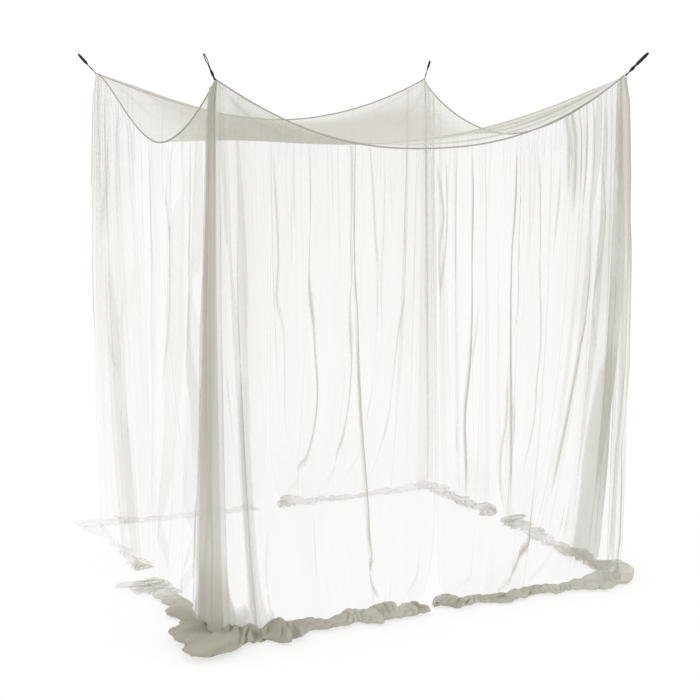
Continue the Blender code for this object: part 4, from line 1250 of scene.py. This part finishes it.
def roof_points(across, back):
    """Points of the roof without its creases, from shares across and back."""
    front = edge_point("front", across)
    rear = edge_point("back", across)
    left = edge_point("left", 1.0 - back)
    right = edge_point("right", 1.0 - back)
    x, y = across[..., None], back[..., None]
    near = top_of("front_left") * (1.0 - x) + top_of("front_right") * x
    far = top_of("back_left") * (1.0 - x) + top_of("back_right") * x
    corners = near * (1.0 - y) + far * y
    point = front * (1.0 - y) + rear * y + left * (1.0 - x) + right * x - corners
    sags = {name: edge["sag"] * sag_shape(edge, across) for name, edge in EDGES.items()}
    sags_back = {name: edge["sag"] * sag_shape(edge, 1.0 - back) for name, edge in EDGES.items()}
    sag_across = sags["front"] * (1.0 - back) + sags["back"] * back
    sag_back = sags_back["left"] * (1.0 - across) + sags_back["right"] * across
    blended = (sag_across ** ROOF_BLEND + sag_back ** ROOF_BLEND) ** (1.0 / ROOF_BLEND)
    point[..., 2] = corners[..., 2] - blended
    return point


share = np.linspace(0.0, 1.0, ROOF_STEPS + 1)
across, back = np.meshgrid(share, share[::-1])
roof_point = roof_points(across, back)
print("roof before its creases, lowest point", round(roof_point[..., 2].min(), 3))

# %% [markdown]
# ## Layers, packing folds and creases of the roof
# Soft creases fan out over the roof from each corner, where the pull is strongest, and a net
# that was folded square in its pack keeps faint lines both ways. The creases are a low rounded
# bump that is a little denser, and the packing lines are only a little denser. Each line of
# ROOF_CREASES has its corner, its angle in degrees, its reach in metres, its width and height
# in millimetres, and its extra layers. The cloth is thinnest near the front right corner.

# %% Build the roof
ROOF_CREASES = (
    ("front_right", 12.0, 1.80, 26, 6.0, 4.6), ("front_right", 33.0, 1.60, 30, 8.0, 4.2),
    ("front_right", 54.0, 1.50, 30, 8.0, 4.6), ("front_right", 76.0, 1.30, 26, 6.0, 4.2),
    ("back_left", 10.0, 0.90, 20, 5.0, 1.1), ("back_left", 26.0, 1.00, 24, 7.0, 0.9),
    ("back_left", 44.0, 1.15, 24, 7.0, 0.9), ("back_left", 63.0, 0.95, 22, 6.0, 1.0),
    ("back_left", 80.0, 0.80, 18, 5.0, 1.1), ("front_left", 20.0, 0.70, 20, 5.0, 0.8),
    ("front_left", 45.0, 0.90, 24, 6.0, 0.7), ("front_left", 70.0, 0.70, 20, 5.0, 0.8),
    ("back_right", 22.0, 0.75, 20, 5.0, 0.8), ("back_right", 47.0, 0.95, 24, 6.0, 0.7),
    ("back_right", 68.0, 0.70, 20, 5.0, 0.8),
)
ROOF_CORNERS = {
    "front_left": (0.0, 0.0), "front_right": (1.0, 0.0),
    "back_left": (0.0, 1.0), "back_right": (1.0, 1.0),
}
ROOF_DENSER = 2.9
ROOF_DENSER_FROM_EDGE = (0.03, 0.22)
THIN_CORNER_REACH = (0.30, 0.85)
THIN_CORNER_SHARE = 0.75
THIN_CORNER_LESS = 0.3
ROOF_CREASE_BEGINS = (0.02, 0.20)
ROOF_CREASE_FADES_FROM = 0.4
ROOF_CREASE_AT_CORNER = 0.25
ROOF_CREASE_WIDENS = 0.6
ROOF_CREASE_NARROWEST = 0.011
ROOF_CREASE_DENSE = 1.4
PACKING_FOLDS = (0.25, 0.50, 0.75)
PACKING_WIDE = 0.018
PACKING_LAYERS = 0.35

to_edge = np.minimum(np.minimum(across, 1.0 - across), np.minimum(back, 1.0 - back))
thin_corner = 1.0 - soft_step(*THIN_CORNER_REACH, np.hypot(1.0 - across, back))
denser = ROOF_DENSER * soft_step(*ROOF_DENSER_FROM_EDGE, to_edge)
roof_layers = 1.0 + denser * (1.0 - THIN_CORNER_SHARE * thin_corner)
roof_layers -= THIN_CORNER_LESS * thin_corner
for fold in PACKING_FOLDS:
    for place in (across, back):
        roof_layers += PACKING_LAYERS * np.exp(-((place - fold) * ROOF_SIDE / PACKING_WIDE) ** 2)
for corner, angle, reach, wide, high, extra in ROOF_CREASES:
    start_across, start_back = ROOF_CORNERS[corner]
    run = np.abs(across - start_across) * ROOF_SIDE
    rise = np.abs(back - start_back) * ROOF_SIDE
    turn = math.radians(angle)
    along = run * math.cos(turn) + rise * math.sin(turn)
    aside = np.abs(rise * math.cos(turn) - run * math.sin(turn))
    fade = 1.0 - soft_step(ROOF_CREASE_FADES_FROM * reach, reach, along)
    fade = soft_step(*ROOF_CREASE_BEGINS, along) * fade
    fanned = ROOF_CREASE_AT_CORNER + ROOF_CREASE_WIDENS * along
    wide_here = np.maximum(wide / 1000.0 * fanned, ROOF_CREASE_NARROWEST)
    bump = np.exp(-(aside / wide_here) ** 2) * fade * soft_step(0.0, 0.04, to_edge)
    roof_point[..., 2] += high / 1000.0 * bump
    roof_layers += extra * ROOF_CREASE_DENSE * bump
roof_cloth = np.stack([across * ROOF_SIDE, back * ROOF_SIDE], axis=-1)
roof = grid_sheet("netting_roof", roof_point, roof_cloth, roof_layers, roof_netting)
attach(roof, "root")
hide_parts("roof_sheet")
print("roof creases:", len(ROOF_CREASES), "lowest point", round(roof_point[..., 2].min(), 3))

# %% [markdown]
# ## The binding tape
# A woven polyester tape is folded over the cut edges of the roof and the walls and sewn down.
# On the photo's scale it is a thin darker line that draws the shape of the whole top. It could
# be a curve with a bevel, but a real section shows its fold and its two edges. So a strip of
# grid is wrapped round the edge: one way runs along the net, the other round the section.

# %% Wrap a strip round a line
# the section's points, as shares of its width and height
TAPE_SECTION = (
    (-0.50, -0.50), (-0.62, -0.30), (-0.50, -0.20), (-0.56, 0.20), (-0.42, 0.42), (0.0, 0.52),
    (0.42, 0.42), (0.56, 0.20), (0.50, -0.20), (0.62, -0.30), (0.50, -0.50), (0.0, -0.44),
)


def wrapped_strip(name, rings, along, material):
    """A closed tube from rings of points, the last ring joined to the first."""
    sides = rings.shape[1]
    closed = np.concatenate([rings, rings[:1]], axis=0)
    closed = np.concatenate([closed, closed[:, :1]], axis=1)
    around = np.linspace(0.0, 1.0, sides + 1)
    cloth = np.stack(np.broadcast_arrays(around[None, :], along[:, None]), axis=-1)
    layers = np.ones(closed.shape[:2])
    strip = grid_sheet(name, closed, cloth, layers, material)
    shape = bmesh.new()
    shape.from_mesh(strip.data)
    bmesh.ops.remove_doubles(shape, verts=shape.verts, dist=0.00001)
    bmesh.ops.recalc_face_normals(shape, faces=shape.faces)
    shape.to_mesh(strip.data)
    shape.free()
    strip.data.shade_smooth()
    return strip


# %% [markdown]
# ## Finish of the tape and the cord
# The tape is woven polyester: matt, and a little darker than the net, with a fine rib across
# it. Its real ribs are under half a millimetre apart, and are drawn at 1.6 mm so that they can
# show. The cord is black polyester, twisted from three strands that come round every 6 mm and
# catch a little light on their crowns. Both finishes follow the piece through its UV map,
# which goes round the section one way, and along the piece in metres the other way.

# %% Materials of the tape and the cord
RIB_PITCH = 0.0016
RIB_RELIEF = 0.0004
STRAND_PITCH = 0.006
STRAND_RELIEF = 0.0006
STRANDS = 3


def make_woven_tape():
    """Woven polyester tape: matt, with a fine rib across it."""
    material, tree, shader = new_material("woven_polyester_tape")
    _, _, along = cloth_places(tree)
    rib = cloth_wave(tree, along, RIB_PITCH)
    soft_place = add_node(tree, "ShaderNodeTexCoord").outputs["Object"]
    worn = add_node(
        tree, "ShaderNodeTexNoise", {}, {"Vector": soft_place, "Scale": 9.0, "Detail": 3.0}
    )
    colour = add_node(
        tree, "ShaderNodeMix", {"data_type": "RGBA"},
        {0: worn.outputs["Fac"], 6: linear("a09e95"), 7: linear("b0aea5")},
    )
    relief = add_node(
        tree, "ShaderNodeBump", {},
        {"Height": rib, "Strength": 0.5, "Distance": RIB_RELIEF},
    )
    tree.links.new(colour.outputs[2], shader.inputs["Base Color"])
    tree.links.new(relief.outputs[0], shader.inputs["Normal"])
    shader.inputs["Roughness"].default_value = 0.8
    return material


def make_twisted_cord():
    """Black polyester cord: slanting strands that catch a little light on their crowns."""
    material, tree, shader = new_material("black_polyester_cord")
    _, around, along = cloth_places(tree)
    turn = add_node(
        tree, "ShaderNodeMath", {"operation": "MULTIPLY"},
        {0: along, 1: 2.0 * math.pi / STRAND_PITCH},
    )
    slant = add_node(
        tree, "ShaderNodeMath", {"operation": "MULTIPLY_ADD"},
        {0: around, 1: 2.0 * math.pi * STRANDS, 2: turn.outputs[0]},
    )
    strand = add_node(tree, "ShaderNodeMath", {"operation": "SINE"}, {0: slant.outputs[0]})
    lift = add_node(
        tree, "ShaderNodeMapRange", {},
        {"Value": strand.outputs[0], "From Min": -1.0, "From Max": 1.0},
    )
    colour = add_node(
        tree, "ShaderNodeMix", {"data_type": "RGBA"},
        {0: lift.outputs[0], 6: linear("070706"), 7: linear("1d1c1a")},
    )
    relief = add_node(
        tree, "ShaderNodeBump", {},
        {"Height": strand.outputs[0], "Strength": 0.6, "Distance": STRAND_RELIEF},
    )
    tree.links.new(colour.outputs[2], shader.inputs["Base Color"])
    tree.links.new(relief.outputs[0], shader.inputs["Normal"])
    shader.inputs["Roughness"].default_value = 0.6
    return material


woven_tape = make_woven_tape()
twisted_cord = make_twisted_cord()
print("finishes:", woven_tape.name, "and", twisted_cord.name)

# %% [markdown]
# ## Lay the tape round the top
# The four top edges make one closed line. At each of its points the section stands square to
# the line, and at the corners it is mitred, so that the tape turns there without thinning.

# %% Build the binding tape
TAPE_STEPS = 96
TAPE_WIDE = 0.004
TAPE_SEWN_HIGH = 0.7 * TAPE_HIGH
MITRE_LEAST = 0.5

ring = []
for name, forwards in (("front", True), ("right", False), ("back", False), ("left", True)):
    shares = np.arange(TAPE_STEPS) / TAPE_STEPS
    ring.append(edge_point(name, shares if forwards else 1.0 - shares))
ring = np.concatenate(ring)
before = ring - np.roll(ring, 1, axis=0)
after = np.roll(ring, -1, axis=0) - ring
normals = []
for way in (before, after):
    way = way[:, :2] / np.linalg.norm(way[:, :2], axis=1, keepdims=True)
    normals.append(np.stack([way[:, 1], -way[:, 0]], axis=-1))
mitre = normals[0] + normals[1]
mitre /= np.linalg.norm(mitre, axis=1, keepdims=True)
mitre /= np.maximum((mitre * normals[0]).sum(axis=1, keepdims=True), MITRE_LEAST)
section = np.array(TAPE_SECTION) * (TAPE_WIDE, TAPE_SEWN_HIGH)
rings = np.repeat(ring[:, None, :], len(section), axis=1)
rings[..., :2] += mitre[:, None, :] * section[None, :, :1]
rings[..., 2] += section[None, :, 1]
tape_along = np.concatenate([[0.0], np.cumsum(np.linalg.norm(after, axis=1))])
binding = wrapped_strip("binding_tape", rings, tape_along, woven_tape)
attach(binding, "root")
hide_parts("top_binding")
print("binding tape:", round(tape_along[-1], 2), "m round the top edge")

# %% [markdown]
# ## The corner ties
# Each corner has a black cord that goes out, turns, and comes back, which makes a loop for a
# hook. Its two strands twist once round each other, and then lie side by side in the loop,
# a little apart only at the front left. The cord's middle line is a closed path, and a round
# section is wrapped along it. Each entry of TIE_FORMS has how much wider its loop opens, how
# far the loop is turned in degrees, and the strand's radius in millimetres at shares of the
# tie's length, because a tied cord is not the same thickness all along.

# %% Build the ties
TIE_FORMS = {
    "back_left": (1.0, 90.0, ((0.0, 1.6), (0.42, 1.7), (0.60, 4.2), (0.86, 4.0), (1.0, 2.4))),
    "front_left": (2.6, 0.0, ((0.0, 3.2), (0.36, 3.0), (0.54, 1.7), (0.80, 1.9), (1.0, 2.2))),
    "back_right": (1.0, 0.0, ((0.0, 1.5), (0.58, 1.8), (0.70, 3.4), (1.0, 3.2))),
    "front_right": (1.0, 90.0, ((0.0, 2.3), (0.16, 2.4), (0.30, 4.2), (0.88, 4.2), (1.0, 3.0))),
}
TIE_APART = 0.88
TIE_LOOP_FORM = 0.8
TIE_TURNS = 1.0
TIE_STEPS = 90
TIE_SIDES = 14


def tie_path(corner):
    """Middle line of a doubled cord and its radius at each point."""
    start, along, across, square = (np.array(value) for value in tie_directions(corner))
    length = TIE_LENGTH * (0.5 - 0.5 * np.cos(np.pi * np.arange(TIE_STEPS + 1) / TIE_STEPS))
    loop_wider, loop_turn, thickness = TIE_FORMS[corner]
    shares, sizes = zip(*thickness)
    radius = np.interp(length / TIE_LENGTH, shares, sizes) / 1000.0
    twisted = TIE_LENGTH - TIE_LOOP_LONG
    beside = TIE_APART * radius
    in_loop = np.maximum(length - twisted, 0.0) / TIE_LOOP_LONG
    opened = np.sin(np.pi * in_loop ** TIE_LOOP_FORM)
    to_end = np.minimum(np.minimum(length, TIE_LENGTH - length), beside) / beside
    apart = beside * np.sqrt(1.0 - (1.0 - to_end) ** 2) + (loop_wider - 1.0) * beside * opened
    twist = 2.0 * np.pi * TIE_TURNS * (1.0 - np.minimum(length / twisted, 1.0))
    twist = twist + math.radians(loop_turn)
    turned = across * np.cos(twist)[:, None] + square * np.sin(twist)[:, None]
    middle = start + along * length[:, None]
    out = middle - turned * apart[:, None]
    home = middle + turned * apart[:, None]
    path = np.concatenate([out[:-1], home[:0:-1]])
    return path, np.concatenate([radius[:-1], radius[:0:-1]])


def make_tie(corner):
    """The doubled cord of one corner."""
    path, radius = tie_path(corner)
    forwards = np.roll(path, -1, axis=0) - np.roll(path, 1, axis=0)
    forwards /= np.linalg.norm(forwards, axis=1, keepdims=True)
    side = np.cross(forwards[0], (0.0, 0.0, 1.0))
    rings = []
    turn = 2.0 * np.pi * np.arange(TIE_SIDES) / TIE_SIDES
    for here, way, wide in zip(path, forwards, radius):
        side = side - way * (side @ way)
        side /= np.linalg.norm(side)
        other = np.cross(way, side)
        circle = side * np.cos(turn)[:, None] + other * np.sin(turn)[:, None]
        rings.append(here + circle * wide)
    steps = np.linalg.norm(np.roll(path, -1, axis=0) - path, axis=1)
    return wrapped_strip(
        "tie_" + corner, np.array(rings), np.concatenate([[0.0], np.cumsum(steps)]), twisted_cord
    )


for corner in CORNERS:
    tie = make_tie(corner)
    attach(tie, "root")
    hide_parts("corner_tie_" + corner)
    print("tie", corner, "has", len(tie.data.polygons), "faces")

# %% [markdown]
# ## Size of the dressed net
# The dressed net has to keep the size of the solids, apart from a little that cloth may stand
# proud. Its box is printed.

# %% Print the dressed box
dressed_low, dressed_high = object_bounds()
dressed_size = [round(high - low, 3) for low, high in zip(dressed_low, dressed_high)]
print("dressed box in metres:", dressed_size)
